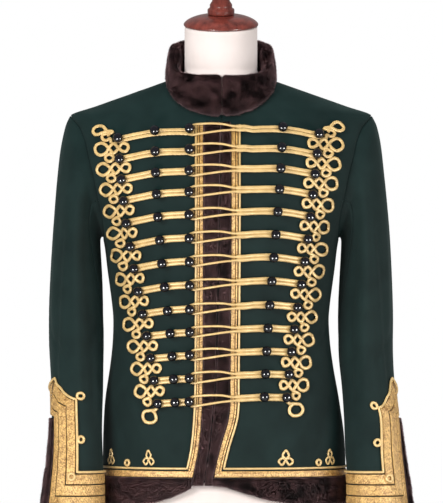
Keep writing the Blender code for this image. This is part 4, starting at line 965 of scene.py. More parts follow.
# %% Where the rows and buttons are
ROWS = 13
# The columns of buttons from the outermost inwards, each given by a few of its rows.
STOP_NAMES = "row x z"
BUTTON_COLUMNS = {
    RIGHT: [
        table(STOP_NAMES, (1, -153, 682), (4, -143, 591), (7, -127, 488), (10, -108, 385), (13, -93, 283)),
        table(STOP_NAMES, (1, -99, 692), (4, -95, 600), (7, -86.5, 496), (10, -74.5, 389), (13, -67.5, 285)),
        table(STOP_NAMES, (1, -47, 693), (4, -47, 603), (7, -46, 499), (10, -45.5, 391), (13, -46.5, 286)),
    ],
    LEFT: [
        table(STOP_NAMES, (1, 146, 688), (4, 135, 600), (7, 122.5, 499), (10, 107, 395), (13, 96.5, 292)),
        table(STOP_NAMES, (1, 92.5, 697), (4, 86.5, 607), (7, 77.5, 505), (10, 69, 397), (13, 64, 293)),
    ],
}
LEFT_SPLIT = table(STOP_NAMES, (1, 24, 695.5), (4, 24, 606), (7, 24, 503.5), (10, 24, 395.5), (13, 22, 290.5))
CORD_RADIUS, CORD_FLAT = 2.75, 0.64
PAIR_HALF, PAIR_SPREAD, PAIR_SPREAD_RUN = 2.6, 0.25, 11.0
PAIR_WANDER, PAIR_WANDER_SIZE = 0.3, 14
ROW_TAIL, ROW_STEP = 3.0, 1.7
ROW_RISE_X, ROW_RISE_RUN, ROW_RISE = 50.0, 16.0, 4.6
BALL, BALL_FOOT, BALL_SQUASH = 7.6, 5.6, 0.25
BALL_RINGS, BALL_SIDES = 15, 28
BUTTON_HEIGHT, LOOPED_BUTTON_HEIGHT = 9.2, 12.4


def column_place(stops, row):
    """Where a column's button stands in one row; the top row is 0 here."""
    return Vector((read(stops, "x", row + 1), read(stops, "z", row + 1)))


def front_line(spots, heights):
    """Points and normals of a line on the front, at heights above the cloth."""
    points, normals = [], []
    for (x, z), height in zip(spots, heights):
        turn = turn_at_x(x, z)
        normals.append(body_normal(turn, z))
        points.append(body_point(turn, z) + normals[-1] * height)
    return points, normals


def row_rise(x):
    return ROW_RISE * ramp(ROW_RISE_X - x, 0, ROW_RISE_RUN) if x > 0 else 0.0


# %% Buttons
def add_button(piece, x, z, height):
    """A ball, a little flattened where it meets the cord."""
    (centre,), (normal,) = front_line([(x, z)], [height])
    side = normal.orthogonal().normalized()
    up = normal.cross(side)
    rows = []
    for k in range(1, BALL_RINGS):
        a = math.pi * k / BALL_RINGS
        rise = -BALL * math.cos(a)
        if rise <= -BALL_FOOT:
            rise = -BALL_FOOT + (rise + BALL_FOOT) * BALL_SQUASH
        ring = circle(BALL_SIDES, BALL * math.sin(a))
        rows.append([centre + normal * rise + side * across + up * along_up for across, along_up in ring])
    piece.grid(rows, slot=1, round_columns=True)
    piece.caps(rows, 1)


# %% One row
def add_pair(piece, middle_line, buttons, seed):
    """Two cords side by side along a line, spreading a little near each button."""
    drift = random.Random(seed).uniform(0, 50)
    for way in (-1, 1):
        spots = []
        for k, spot in enumerate(middle_line):
            before, after = middle_line[max(k - 1, 0)], middle_line[min(k + 1, len(middle_line) - 1)]
            direction = (after - before).normalized()
            near = min((spot - place).length for place in buttons)
            spread = PAIR_HALF + PAIR_SPREAD * bump(near, PAIR_SPREAD_RUN)
            wander = PAIR_WANDER * noise.noise(Vector((spot.x / PAIR_WANDER_SIZE, drift, 0)))
            spots.append(spot + Vector((-direction.y, direction.x)) * (way * spread + wander))
        heights = [LIFT + CORD_RADIUS * CORD_FLAT + row_rise(spot.x) for spot in spots]
        points, normals = front_line(spots, heights)
        add_cord(piece, points, normals, CORD_RADIUS, flat=CORD_FLAT)


def frog(side, row):
    """One row on one side with its buttons."""
    places = [column_place(stops, row) for stops in BUTTON_COLUMNS[side]]
    name = f"frog_{SIDES[side]}_{row + 1:02d}"
    piece = Piece(f"cord_{name}")
    line = [places[0] - (places[1] - places[0]).normalized() * ROW_TAIL] + places
    heights = [BUTTON_HEIGHT, BUTTON_HEIGHT]
    if side == RIGHT:
        line.append(places[-1] + (places[-1] - places[-2]).normalized() * ROW_TAIL)
        add_pair(piece, smooth(line, ROW_STEP), places, row)
        heights.append(LOOPED_BUTTON_HEIGHT)
    else:
        split = column_place(LEFT_SPLIT, row)
        add_pair(piece, smooth(line + [split], ROW_STEP), places, row + ROWS)
        add_loop(piece, split, column_place(BUTTON_COLUMNS[RIGHT][-1], row), row)
    for place, height in zip(places, heights):
        add_button(piece, place.x, place.y, height)
    piece.make([CORD_GOLD, BUTTON], name)


# %% The loop over the fur
# The two legs part at the split, arch a little upwards over the fur and close round the button's foot.
LOOP_POINTS = table(
    "share upper lower height",
    (0.0, 2.6, -2.6, 7.4), (0.1, 3.2, -2.9, 8.6), (0.3, 6.2, -3.6, 9.4), (0.52, 7.6, -5.0, 9.6),
    (0.76, 7.9, -6.5, 9.0), (0.89, 7.7, -7.3, 7.8), (0.946, 6.9, -6.9, 6.4),
)
LOOP_ENDS = table(
    "angle reach height",
    (108, 5.0, 4.6), (140, 4.6, 4.2), (180, 4.4, 4.1), (220, 4.6, 4.2), (252, 5.0, 4.6),
)
LOOP_RADIUS, LOOP_FLAT, LOOP_SWAY = 1.75, 0.9, 0.7
LINE_STEP = 1.6


def add_loop(piece, split, button, row):
    rng = random.Random(100 + row)
    line = button - split
    legs = []
    for leg in ("upper", "lower"):
        sway = rng.uniform(-LOOP_SWAY, LOOP_SWAY)
        points = []
        for point in LOOP_POINTS:
            spot = split + line * point.share
            arch = getattr(point, leg) + sway * math.sin(math.pi * point.share)
            points.append(Vector((spot.x, spot.y + arch, point.height)))
        legs.append(points)
    ends = []
    for end in LOOP_ENDS:
        a = math.radians(end.angle)
        x, z = button.x + math.cos(a) * end.reach, button.y + math.sin(a) * end.reach
        ends.append(Vector((x, z, end.height)))
    path = smooth(legs[0] + ends + legs[1][::-1], LINE_STEP)
    points, normals = front_line([point.xy for point in path], [point.z for point in path])
    add_cord(piece, points, normals, LOOP_RADIUS, flat=LOOP_FLAT)


for side in SIDES:
    for row in range(ROWS):
        frog(side, row)

# %% [markdown]
# ## Knots outside the buttons
#
# Below each outer button one cord makes a figure of eight: a small loop towards the front, a large one
# outwards and a diamond between them, and then a tight coil beside the next button. The places are from the
# row's button.

# %% The knots' lines
KNOT_EIGHT = (
    (7.0, 8.5), (13.0, 14.8), (17.5, 22.0), (23.5, 25.0), (29.5, 21.5), (30.8, 15.5), (28.5, 9.5),
    (23.0, 7.2), (17.5, 10.0), (13.0, 15.8), (7.0, 23.0), (1.0, 15.8), (-3.0, 10.0), (-6.5, 8.8),
    (-10.8, 11.0), (-11.5, 15.5), (-9.5, 20.0), (-6.0, 20.8), (-2.5, 19.0), (1.0, 15.0),
)
KNOT_COIL = (
    (7.0, 23.5), (12.2, 26.2), (17.1, 28.8), (17.6, 32.8), (14.0, 36.5), (9.6, 36.0), (7.2, 32.2),
    (8.6, 28.2), (12.2, 26.2),
)
KNOT_TOP = (
    (12.0, 5.0), (13.0, -1.0), (15.8, -0.8), (19.0, 0.9), (23.6, -0.4), (25.3, -4.4), (23.2, -8.0),
    (18.5, -9.0), (13.5, -9.4), (9.2, -10.6), (13.0, -12.6), (19.0, -12.4), (25.0, -10.4), (31.5, -8.6),
    (36.6, -9.6), (38.6, -13.5), (36.0, -18.6), (30.5, -21.4), (24.5, -20.2), (20.5, -16.2), (17.6, -11.0),
    (15.0, -5.0),
)
KNOT_END = (
    (2.0, 5.0), (6.0, 9.0), (14.0, 9.8), (22.0, 11.5), (25.0, 19.0), (21.0, 26.5), (12.0, 28.0),
    (6.0, 22.5), (6.5, 14.5), (10.5, 10.5),
)
NO_PIVOT, EIGHT_PIVOT, COIL_PIVOT = Vector((0, 0)), Vector((8.0, 16.0)), Vector((12.2, 31.5))
KNOT_RADIUS, KNOT_FLAT, KNOT_PITCH = 2.5, 0.7, 34.3
KNOT_LIFT = LIFT + KNOT_RADIUS * KNOT_FLAT + 0.9
KNOT_WEAVE, KNOT_WEAVE_RUN = 0.7, 0.55
KNOT_SEAM_GAP, KNOT_LAST_TURN = 1.5, 80
# Each knot is a little larger or smaller than drawn, and turned by a degree or two.
KNOT_SIZES, KNOT_TURNS = (0.98, 1.02), (-2.5, 2.5)


def knot_line(piece, side, row, offsets, pivot, closed, seed):
    """One knotted cord, from offsets outward and down from a row's outer button."""
    stops, first = BUTTON_COLUMNS[side][0], min(row, ROWS - 2)
    button = column_place(stops, row)
    pitch = column_place(stops, first).y - column_place(stops, first + 1).y
    squeeze = min(pitch / KNOT_PITCH, 1.0) if pivot.length else 1.0
    rng = random.Random(seed)
    size = rng.uniform(*KNOT_SIZES)
    turned = Matrix.Rotation(math.radians(rng.uniform(*KNOT_TURNS)), 2)
    base = Vector((abs(button.x) + pivot.x / squeeze, button.y - pivot.y * squeeze))
    spots = []
    for offset in offsets:
        arm = (Vector(offset) - pivot) * size
        arm.rotate(turned)
        spots.append((base.x + arm.x / squeeze, base.y - arm.y, 0.0))
    points, normals = [], []
    for k, spot in enumerate(smooth(spots, LINE_STEP, closed)):
        turn, z = turn_at_x(spot.x, spot.y), spot.y
        reach = (KNOT_RADIUS + KNOT_SEAM_GAP) / arc_length(min(turn, KNOT_LAST_TURN), z)
        turn = side * min(turn, side_turn("front", z) - reach)
        normals.append(body_normal(turn, z))
        weave = KNOT_WEAVE * math.sin(k * KNOT_WEAVE_RUN + seed)
        points.append(body_point(turn, z) + normals[-1] * (KNOT_LIFT + weave))
    add_cord(piece, points, normals, KNOT_RADIUS, closed=closed, flat=KNOT_FLAT)


for side, word in SIDES.items():
    piece = Piece(f"cord_knots_{word}")
    knot_line(piece, side, 0, KNOT_TOP, NO_PIVOT, False, 7 + side)
    for row in range(ROWS - 1):
        knot_line(piece, side, row, KNOT_EIGHT, EIGHT_PIVOT, True, 20 * side + row)
        knot_line(piece, side, row, KNOT_COIL, COIL_PIVOT, False, 20 * side + row)
    knot_line(piece, side, ROWS - 1, KNOT_END, NO_PIVOT, False, 5 - side)
    piece.make([CORD_GOLD], f"knots_{word}")

# %% [markdown]
# ## Lace and cord along the edges
#
# A band of lace borders the fur down each front and round the hem, with a narrow second one beside it down
# the fronts. A lighter round cord runs along the outside, with a thin line of wool showing between. At the
# corner of the hem both turn square.

# %% Edge lines
HEM_LACE, HEM_CORD = 9.5, 13.3
EDGE_CORD_RADIUS = 1.65
EDGE_ROWS, CORNER_ROWS, BACK_COLUMNS = 134, 64, 150
RING_SIDES = 24
# How far out from the fur: the lace's edge, both edges of the narrow lace beside it, and the cord's middle.
EdgeTrim = namedtuple("EdgeTrim", "lace narrow_from narrow_to cord")
EDGE_TRIMS = {RIGHT: EdgeTrim(5.2, 6.0, 8.5, 10.8), LEFT: EdgeTrim(6.2, 7.0, 9.6, 12.6)}
HEM_RINGS = {RIGHT: (-141.0, 193.0), LEFT: (147.0, 193.5)}
HEM_RING_RADIUS, HEM_RING_CORD = 4.0, 1.9


def edge_line(side, reach, level_offset):
    """A line beside a front edge's fur, round the corner and beside the hem's fur, as turns and heights."""
    corner_z = HEM_LACE_Z + level_offset
    line = []
    for k in range(EDGE_ROWS):
        z = blend(BRAID_FOOT_Z, corner_z, k / (EDGE_ROWS - 1))
        line.append((turn_at_x(front_edge(f"fur_{SIDES[side]}", z) + side * (SEWN_GAP + reach), z), z))
    corner, end = line[-1][0], side * side_turn("front", corner_z)
    return line + [(blend(corner, end, k / CORNER_ROWS), corner_z) for k in range(1, CORNER_ROWS + 1)]


def lay(line, height=SEWN_GAP):
    """A line of turns and heights as points over the cloth, with the way each faces."""
    return [(on_body(turn, z, height), body_normal(turn, z)) for turn, z in line]


for side, word in SIDES.items():
    piece = Piece(f"lace_edge_{word}")
    trim = EDGE_TRIMS[side]
    wide = edge_line(side, 0.0, 0.0), edge_line(side, trim.lace, HEM_LACE)
    narrow = [edge_line(side, reach, HEM_LACE)[:EDGE_ROWS] for reach in (trim.narrow_from, trim.narrow_to)]
    for lines in (wide, narrow):
        edges = [lay(line) for line in lines]
        add_lace(piece, list(zip(*(edges[::-1] if side == RIGHT else edges))))
    cord = lay(edge_line(side, trim.cord, HEM_CORD), SEWN_GAP + EDGE_CORD_RADIUS)
    add_laid_cord(piece, cord, EDGE_CORD_RADIUS)
    ring_x, ring_z = HEM_RINGS[side]
    centre = (turn_at_x(ring_x, ring_z), ring_z)
    ring = [beside(centre, x, z, SEWN_GAP + HEM_RING_CORD) for x, z in circle(RING_SIDES, HEM_RING_RADIUS)]
    add_closed_cord(piece, ring, body_normal(*centre), HEM_RING_CORD, 1)
    piece.make([LACE_GOLD, CORD_GOLD], f"edge_braid_{word}")

# %% Lace and cord round the back of the hem
back_end = side_turn("back", HEM_LACE_Z)
back_turns = [blend(back_end, 360 - back_end, k / BACK_COLUMNS) for k in range(BACK_COLUMNS + 1)]
piece = Piece("lace_hem_back")
low_edge, high_edge = (lay([(turn, HEM_LACE_Z + up) for turn in back_turns]) for up in (0, HEM_LACE))
add_lace(piece, list(zip(low_edge, high_edge)))
back_line = lay([(turn, HEM_LACE_Z + HEM_CORD) for turn in back_turns], SEWN_GAP + EDGE_CORD_RADIUS)
add_laid_cord(piece, back_line, EDGE_CORD_RADIUS)
piece.make([LACE_GOLD, CORD_GOLD], "hem_braid_back")

# %% [markdown]
# ## Trefoils on the hem
#
# Four little trefoils of fine cord stand on the hem's cord, each drawn in one line: a side loop, a tall
# narrow loop in the middle and the other side loop.

# %% Trefoils
TREFOILS = table(
    "name x width_share cord",
    ("right_inner", -108.7, 0.76, 1.4), ("right_outer", -166.0, 0.76, 1.5), ("left_inner", 97.3, 1.0, 1.8),
    ("left_outer", 164.5, 0.8, 1.6),
)
TREFOIL_LINE = (
    (0.0, 0.4), (-1.8, -3.0), (-6.0, -7.4), (-11.2, -2.6), (-6.6, 2.4), (-0.6, 1.8), (3.9, 4.6), (4.5, 8.4),
    (0.0, 14.2), (-4.5, 8.4), (-3.9, 4.6), (0.6, 1.8), (6.6, 2.4), (11.2, -2.6), (6.0, -7.4), (1.8, -3.0),
)
TREFOIL_Z, TREFOIL_LIFT, TREFOIL_STEP = 198.2, 0.6, 1.0
TREFOIL_FLAT, TREFOIL_WEAVE, TREFOIL_WEAVE_RUN = 0.7, 0.35, 0.9

for name, x, width_share, cord in TREFOILS:
    piece = Piece(f"cord_trefoil_{name}")
    centre = (turn_at_x(x, TREFOIL_Z), TREFOIL_Z)
    line = [(right * width_share, up, 0.0) for right, up in TREFOIL_LINE]
    points = []
    for k, spot in enumerate(smooth(line, TREFOIL_STEP, closed=True)):
        height = TREFOIL_LIFT + cord * TREFOIL_FLAT + TREFOIL_WEAVE * math.sin(k * TREFOIL_WEAVE_RUN)
        points.append(beside(centre, spot.x, spot.y, height))
    add_closed_cord(piece, points, body_normal(*centre), cord, flat=TREFOIL_FLAT)
    piece.make([CORD_GOLD], f"trefoil_{name}")

# %% [markdown]
# ## The cuffs' braid
#
# Three bands of lace run round the cuff, turn square at the slit and rise beside it to a peak behind the
# forearm, where they sweep up like a fan. A cord follows the outermost band, and small round loops stand
# beside it.

# %% Lines round the cuff
CUFF_FUR, CUFF_LIFT = 21.0, 1.0
CUFF_LACE_BOTTOM_Z = 132.3
CUFF_BANDS = ((0.0, 10.9), (12.6, 28.0), (29.7, 44.2))
CUFF_CORD, CUFF_CORD_RADIUS = 47.3, 1.9
CUFF_PEAK_RISE, CUFF_PEAK_LEAN = 1.16, 0.6
CUFF_SHOULDER_RISES = {RIGHT: 0.55, LEFT: 0.28}
PEAK_CURVE = 1.7
PEAK_ROWS, SLIT_ROWS, CUFF_COLUMNS = 14, 40, 72
CUFF_AROUND = math.tau * CUFF_RADIUS
RING_NAMES = "distance z radius cord"
CUFF_RINGS = {
    RIGHT: table(RING_NAMES, (75.4, 294.0, 4.6, 2.1), (75.4, 228.4, 4.6, 2.1), (60.9, 172.3, 4.8, 2.1)),
    LEFT: table(RING_NAMES, (75.4, 279.0, 4.6, 2.1), (75.4, 223.7, 4.6, 2.1), (60.9, 170.0, 4.8, 2.1)),
}
# The lowest ring lies partly on the cord, so it is lifted.
LOW_RING_Z, LOW_RING_LIFT = 200, 1.2


def cuff_angle(side, distance, place):
    return seam_angle(side, place) + math.degrees(distance / CUFF_RADIUS)


def cuff_spot(side, distance, z, height):
    """A point over the cuff, by its distance round from the slit's middle towards the front."""
    place = sleeve_place(z)
    below = max(SLEEVE_RINGS[-1].outer_z - z, 0)
    return on_sleeve(side, cuff_angle(side, distance, place), place, height) - Vector((0, 0, below))


def cuff_facing(side, distance, z):
    place = sleeve_place(z)
    return sleeve_normal(side, cuff_angle(side, distance, place), place)


def lay_on_cuff(side, offset, height=CUFF_LIFT):
    """A closed line round the cuff's trim: peak, slit, hem, slit and back to the peak."""
    peak, peak_z = CUFF_PEAK_LEAN * offset, SLIT_TOP_Z + 4 + CUFF_PEAK_RISE * offset
    edge, bottom_z = CUFF_FUR + 0.8 + offset, CUFF_LACE_BOTTOM_Z + offset
    far_edge = CUFF_AROUND - edge
    shoulder_z = SLIT_TOP_Z + 1 + CUFF_SHOULDER_RISES[side] * offset
    down, up = [k / PEAK_ROWS for k in range(PEAK_ROWS)], [k / PEAK_ROWS for k in range(1, PEAK_ROWS)]
    line = [(blend(peak, edge, t), blend(shoulder_z, peak_z, (1 - t) ** PEAK_CURVE)) for t in down]
    line += [(edge, blend(shoulder_z, bottom_z, k / SLIT_ROWS)) for k in range(SLIT_ROWS + 1)]
    line += [(blend(edge, far_edge, k / CUFF_COLUMNS), bottom_z) for k in range(1, CUFF_COLUMNS + 1)]
    line += [(far_edge, blend(bottom_z, shoulder_z, k / SLIT_ROWS)) for k in range(1, SLIT_ROWS + 1)]
    line += [(blend(far_edge, CUFF_AROUND + peak, t), blend(shoulder_z, peak_z, t**PEAK_CURVE)) for t in up]
    line.append((CUFF_AROUND + peak, peak_z))
    return [(cuff_spot(side, distance, z, height), cuff_facing(side, distance, z)) for distance, z in line]


# %% The cuffs' lace, cord and small loops
for side, word in SIDES.items():
    piece = Piece(f"lace_cuff_{word}")
    for band in CUFF_BANDS:
        low_edge, high_edge = (lay_on_cuff(side, offset) for offset in band)
        add_lace(piece, list(zip(low_edge, high_edge) if side == LEFT else zip(high_edge, low_edge)))
    add_laid_cord(piece, lay_on_cuff(side, CUFF_CORD, CUFF_LIFT + CUFF_CORD_RADIUS), CUFF_CORD_RADIUS)
    for ring in CUFF_RINGS[side]:
        lift = CUFF_LIFT + ring.cord + (LOW_RING_LIFT if ring.z < LOW_RING_Z else 0.0)
        spots = circle(RING_SIDES, ring.radius)
        points = [cuff_spot(side, ring.distance + x, ring.z + z, lift) for x, z in spots]
        add_closed_cord(piece, points, cuff_facing(side, ring.distance, ring.z), ring.cord, 1)
    piece.make([LACE_GOLD, CORD_GOLD], f"cuff_braid_{word}")

# %% [markdown]
# ## Fur
#
# The fur is a short dense plush. Each band is a rounded base whose surface swells in soft clumps, with a
# pile of fine slivers over it that lean with the nap. Each sliver takes the base's way of facing, so the
# pile lights like one soft surface and not like scattered blades.

# %% A band of fur
PILE_LENGTH, PILE_WIDTH, PILE_DENSITY = 2.3, 0.52, 1.15
PILE_STAND, PILE_NAP, PILE_STRAY, PILE_TURN, PILE_SUNK = 0.62, 0.55, 0.3, 0.5, 0.5
CLUMP, CLUMP_SIZE, FUZZ, FUZZ_SIZE, BASE_SUNK = 1.2, 14.0, 0.2, 4.0, 0.9
SHADE_SWING, SHADE_SIZE, SHADE_STRAY = 0.6, 5.0, 0.2
BASE_SHADE, BASE_TIP = 0.35, 0.25
PILE_LENGTHS = (0.6, 1.15)


def swollen(point, normal):
    swell = CLUMP * noise.noise(point / CLUMP_SIZE) + FUZZ * noise.noise(point / FUZZ_SIZE)
    return point + normal * (swell - BASE_SUNK)


def stray(rng, spread):
    return Vector((rng.gauss(0, spread), rng.gauss(0, spread), rng.gauss(0, spread)))


def ring_normals(rings):
    """The way each point of closed rings faces, outwards, and whether their grid has to be flipped."""
    count, around = len(rings), len(rings[0])
    normals = []
    for r in range(count):
        row = []
        for c in range(around):
            across = rings[r][(c + 1) % around] - rings[r][c - 1]
            down = rings[min(r + 1, count - 1)][c] - rings[max(r - 1, 0)][c]
            row.append(across.cross(down).normalized())
        normals.append(row)
    middle = rings[count // 2]
    centre = sum(middle, Vector()) / around
    if sum((point - centre).dot(normal) for point, normal in zip(middle, normals[count // 2])) < 0:
        return [[-normal for normal in row] for row in normals], False
    return normals, True


def fur_band(name, rings, node, seed, hidden=(), tone=0.0):
    """Fur over closed rings of points. Hidden columns, on the cloth, get no pile; a high tone is pale. The
    tone is painted light: a lit band is given a paler tone and a shaded band a darker one.
    """
    rng = random.Random(seed)
    normals, flip = ring_normals(rings)
    rows = [[swollen(*pair) for pair in zip(ring, facing)] for ring, facing in zip(rings, normals)]
    around = len(rows[0])
    piece = Piece(f"fur_{name}")
    # The base's U carries the band's tone, which is painted light.
    piece.grid(rows, lambda r, c: (BASE_SHADE + tone, BASE_TIP), round_columns=True, flip=flip)
    piece.cap(rows[0] if flip else rows[0][::-1])
    piece.cap(rows[-1][::-1] if flip else rows[-1])
    facing = [normal for row in normals for normal in row] + [Vector()] * (2 * around)
    for r in range(len(rows) - 1):
        for c in range(around):
            if c in hidden:
                continue
            corners = (rows[r][c], rows[r][(c + 1) % around], rows[r + 1][c], rows[r + 1][(c + 1) % around])
            area = (corners[1] - corners[0]).cross(corners[2] - corners[0]).length
            normal = normals[r][c]
            nap = Vector((0, 0, -1)) - normal * -normal.z
            for _ in range(int(area * PILE_DENSITY + rng.random())):
                u, v = rng.random(), rng.random()
                root = corners[0].lerp(corners[1], u).lerp(corners[2].lerp(corners[3], u), v)
                way = (normal * PILE_STAND + nap * PILE_NAP + stray(rng, PILE_STRAY)).normalized()
                length = PILE_LENGTH * rng.uniform(*PILE_LENGTHS)
                half = way.cross(normal + stray(rng, PILE_TURN)).normalized() * (PILE_WIDTH / 2)
                shade = 0.5 + SHADE_SWING * noise.noise(root / SHADE_SIZE) + rng.gauss(0, SHADE_STRAY)
                sunk = root - normal * PILE_SUNK
                # Each hair's U is its own shade plus the band's tone, which is painted light.
                piece.blade(sunk - half, sunk + half, root + way * length, tone + clamp(shade))
                facing.extend((normal, normal, normal))
    thing = piece.make([FUR], node, weld=False)
    thing.data.normals_split_custom_set_from_vertices(facing)


# %% Fur down the front edges
# Across a band from one edge to the other: how far over, and how high, as a share of the band's height.
BAND_SHAPE = (
    (0.0, 0.15), (0.02, 0.55), (0.07, 0.85), (0.16, 1.0), (0.32, 1.05), (0.5, 1.06), (0.68, 1.05),
    (0.84, 1.0), (0.93, 0.85), (0.98, 0.55), (1.0, 0.15),
)
BAND_BACK, BAND_BACK_HEIGHT = (0.8, 0.5, 0.2), 0.4
BAND_HIDDEN = range(len(BAND_SHAPE) - 1, len(BAND_SHAPE) + len(BAND_BACK))
BAND_FULLNESS = 0.95
FUR_HEIGHT, FUR_GAP, FUR_ROWS = 6.3, 0.4, 125
# Painted light on the fur bands: both front bands and the hem on the wearer's right are painted paler as if
# lit, and the hem on the wearer's left darker as painted shade.
FRONT_FUR_PAINTED_LIGHT, HEM_FUR_PAINTED_LIGHT = {RIGHT: 0.75, LEFT: 0.5}, {RIGHT: 0.5, LEFT: -0.1}


def band_ring(spot, foot, height):
    """A ring round a band of fur: over it from edge to edge, and back underneath close to the cloth."""
    over = [spot(share, foot + rise * height) for share, rise in BAND_SHAPE]
    return over + [spot(share, BAND_BACK_HEIGHT) for share in BAND_BACK]


def front_ring(side, z):
    near, far = front_edge("meeting", z) + side * SEAM_GAP, front_edge(f"fur_{SIDES[side]}", z)

    def spot(share, height):
        return on_front(blend(near, far, share), z, height)

    return band_ring(spot, LIFT, FUR_HEIGHT * BAND_FULLNESS)


front_fur_foot, front_fur_top = hem_fur_z(HEM_FUR_PEAK_TURN), BRAID_FOOT_Z + 2
for side, word in SIDES.items():
    places = [blend(front_fur_foot, front_fur_top, k / FUR_ROWS) for k in range(FUR_ROWS + 1)]
    rings = [front_ring(side, z) for z in places]
    fur_band(f"front_{word}", rings, f"front_fur_{word}", 11 + side, BAND_HIDDEN, FRONT_FUR_PAINTED_LIGHT[side])

# %% Fur round the hem
HEM_FUR_HEIGHT, HEM_FUR_TOP_Z = 7.6, HEM_LACE_Z - 0.4
HEM_FUR_MIDDLE_Z, HEM_FUR_COLUMNS = 150.0, 80


def hem_ring(turn_of, least_z):
    def spot(share, height):
        z = blend(least_z, HEM_FUR_TOP_Z, share)
        return on_body(turn_of(z), z, height)

    return band_ring(spot, LIFT, HEM_FUR_HEIGHT)


def hem_front_ring(side, share):
    def turn_of(z):
        start = turn_at_x(front_edge(f"fur_{SIDES[side]}", z) + side * FUR_GAP, z)
        return blend(start, side * side_turn("front", z), share)

    return hem_ring(turn_of, hem_fur_z(turn_of(HEM_FUR_MIDDLE_Z)))


for side, word in SIDES.items():
    rings = [hem_front_ring(side, k / HEM_FUR_COLUMNS) for k in range(HEM_FUR_COLUMNS + 1)]
    fur_band(f"hem_{word}", rings, f"hem_fur_{word}", 21 + side, BAND_HIDDEN, HEM_FUR_PAINTED_LIGHT[side])
rings = [hem_ring(lambda z, turn=turn: turn, hem_fur_z(180)) for turn in back_turns]
fur_band("hem_back", rings, "hem_fur_back", 24, BAND_HIDDEN)

# %% Fur round the cuffs and up the slits
CUFF_FUR_TOP_Z = 131.8
CUFF_FUR_THIN, CUFF_FUR_THICK = 5.0, 10.0
CUFF_SLIT_ROWS, CUFF_LEVEL_ROWS = 30, 60


def cuff_ring(side, place_of, thick):
    height = (thick - CUFF_LIFT) * BAND_FULLNESS
    return band_ring(lambda share, lift: cuff_spot(side, *place_of(share), lift), CUFF_LIFT, height)


def slit_ring(side, way, t):
    """A ring across the fur beside the slit, from its top at 0 to the hem at 1."""

    def place_of(share):
        z = blend(SLIT_TOP_Z - 2, blend(CUFF_FUR_BOTTOM_Z, CUFF_FUR_TOP_Z, share), t)
        return way * blend(slit_half(z) + SEWN_GAP, CUFF_FUR, share), z

    return cuff_ring(side, place_of, blend(CUFF_FUR_THIN, CUFF_FUR_THICK, t))


def level_ring(side, t):
    def place_of(share):
        start = blend(slit_half(CUFF_FUR_BOTTOM_Z) + SEWN_GAP, CUFF_FUR, share)
        return blend(start, CUFF_AROUND - start, t), blend(CUFF_FUR_BOTTOM_Z, CUFF_FUR_TOP_Z, share)

    return cuff_ring(side, place_of, CUFF_FUR_THICK)


for side, word in SIDES.items():
    rings = [slit_ring(side, 1, k / CUFF_SLIT_ROWS) for k in range(CUFF_SLIT_ROWS + 1)]
    rings += [level_ring(side, k / CUFF_LEVEL_ROWS) for k in range(1, CUFF_LEVEL_ROWS)]
    rings += [slit_ring(side, -1, k / CUFF_SLIT_ROWS) for k in range(CUFF_SLIT_ROWS, -1, -1)]
    fur_band(f"cuff_{word}", rings, f"cuff_fur_{word}", 31 + side, BAND_HIDDEN)

# %% [markdown]
# ## The collar
#
# The collar stands round the neck, furred inside and out, and its two ends meet under the chin. A few
# sections are set up at places along the neckline, and the fur's rings are smooth curves through them.

# %% Sections of the collar
NECK_Y = -12.0
COLLAR_OUT, COLLAR_LAP, COLLAR_SEAT, COLLAR_LIFT, COLLAR_LEAN = 8.5, 6.5, 2.6, 2.2, 4.0
COLLAR_SIDES, COLLAR_RINGS, COLLAR_STEP = 40, 190, 0.8
# The fur is drawn in at the collar's two ends: which ring, and what share of its size it keeps.
COLLAR_ENDS = ((0, 0.86), (1, 0.96), (-1, 0.86), (-2, 0.96))
NECK_FRONT_ANGLES, NECK_BACK_TURNS = (14, 32, 52, 72, 90), (105, 130, 155)
# The collar's top edge round the neck, and how thick its fur is on the inside there.
COLLAR_TOPS = table(
    "turn z inside",
    (0, 778.5, 6), (30, 780, 6), (52, 786, 7), (75, 806, 13), (90, 822, 14.5), (120, 834, 11),
    (150, 838, 7), (180, 838, 6),
)


def neck_spots(side):
    """Places round the neckline from the front edge to the middle of the back."""
    front_x = front_edge("meeting", NECK_FRONT_Z) + side * SEAM_GAP / 2
    spots = [(turn_at_x(front_x, NECK_FRONT_Z), NECK_FRONT_Z)]
    for angle in NECK_FRONT_ANGLES:
        z = neck_z(angle)
        spots.append((side * turn_at_x(NECK_HALF_WIDTH * math.sin(math.radians(angle)), z), z))
    return spots + [(side * turn, NECK_CORNER_Z) for turn in NECK_BACK_TURNS]


def collar_sections():
    spots = neck_spots(RIGHT) + [(180, NECK_CORNER_Z)] + neck_spots(LEFT)[::-1]
    points = [body_point(turn, z) for turn, z in spots]
    sections = []
    for k, (turn, z) in enumerate(spots):
        point, normal = points[k], body_normal(turn, z)
        tangent = (points[min(k + 1, len(points) - 1)] - points[max(k - 1, 0)]).normalized()
        if k in (0, len(points) - 1):
            tangent = Vector((-1, 0, 0))
        inward = tangent.cross(normal)
        inward *= 1 if inward.z >= 0 else -1
        out = Vector((tangent.y, -tangent.x, 0)).normalized()
        out *= 1 if out.dot(Vector((point.x, point.y - NECK_Y, 0))) >= 0 else -1
        inside = read(COLLAR_TOPS, "inside", abs(turn))
        top = Vector((point.x, point.y, read(COLLAR_TOPS, "z", abs(turn)))) - out * COLLAR_LEAN
        seat = point + normal * COLLAR_LIFT + inward * COLLAR_SEAT
        middle = (seat + top) / 2
        sections.append(
            [
                point - inward * COLLAR_LAP + normal * COLLAR_LIFT,
                point - inward * (COLLAR_LAP - 2) + normal * COLLAR_OUT,
                middle + out * COLLAR_OUT,
                top + out * (COLLAR_OUT - 3),
                top + Vector((0, 0, 3)),
                top - out * (inside - 2) - Vector((0, 0, 1)),
                middle - out * inside,
                seat,
            ]
        )
    return sections


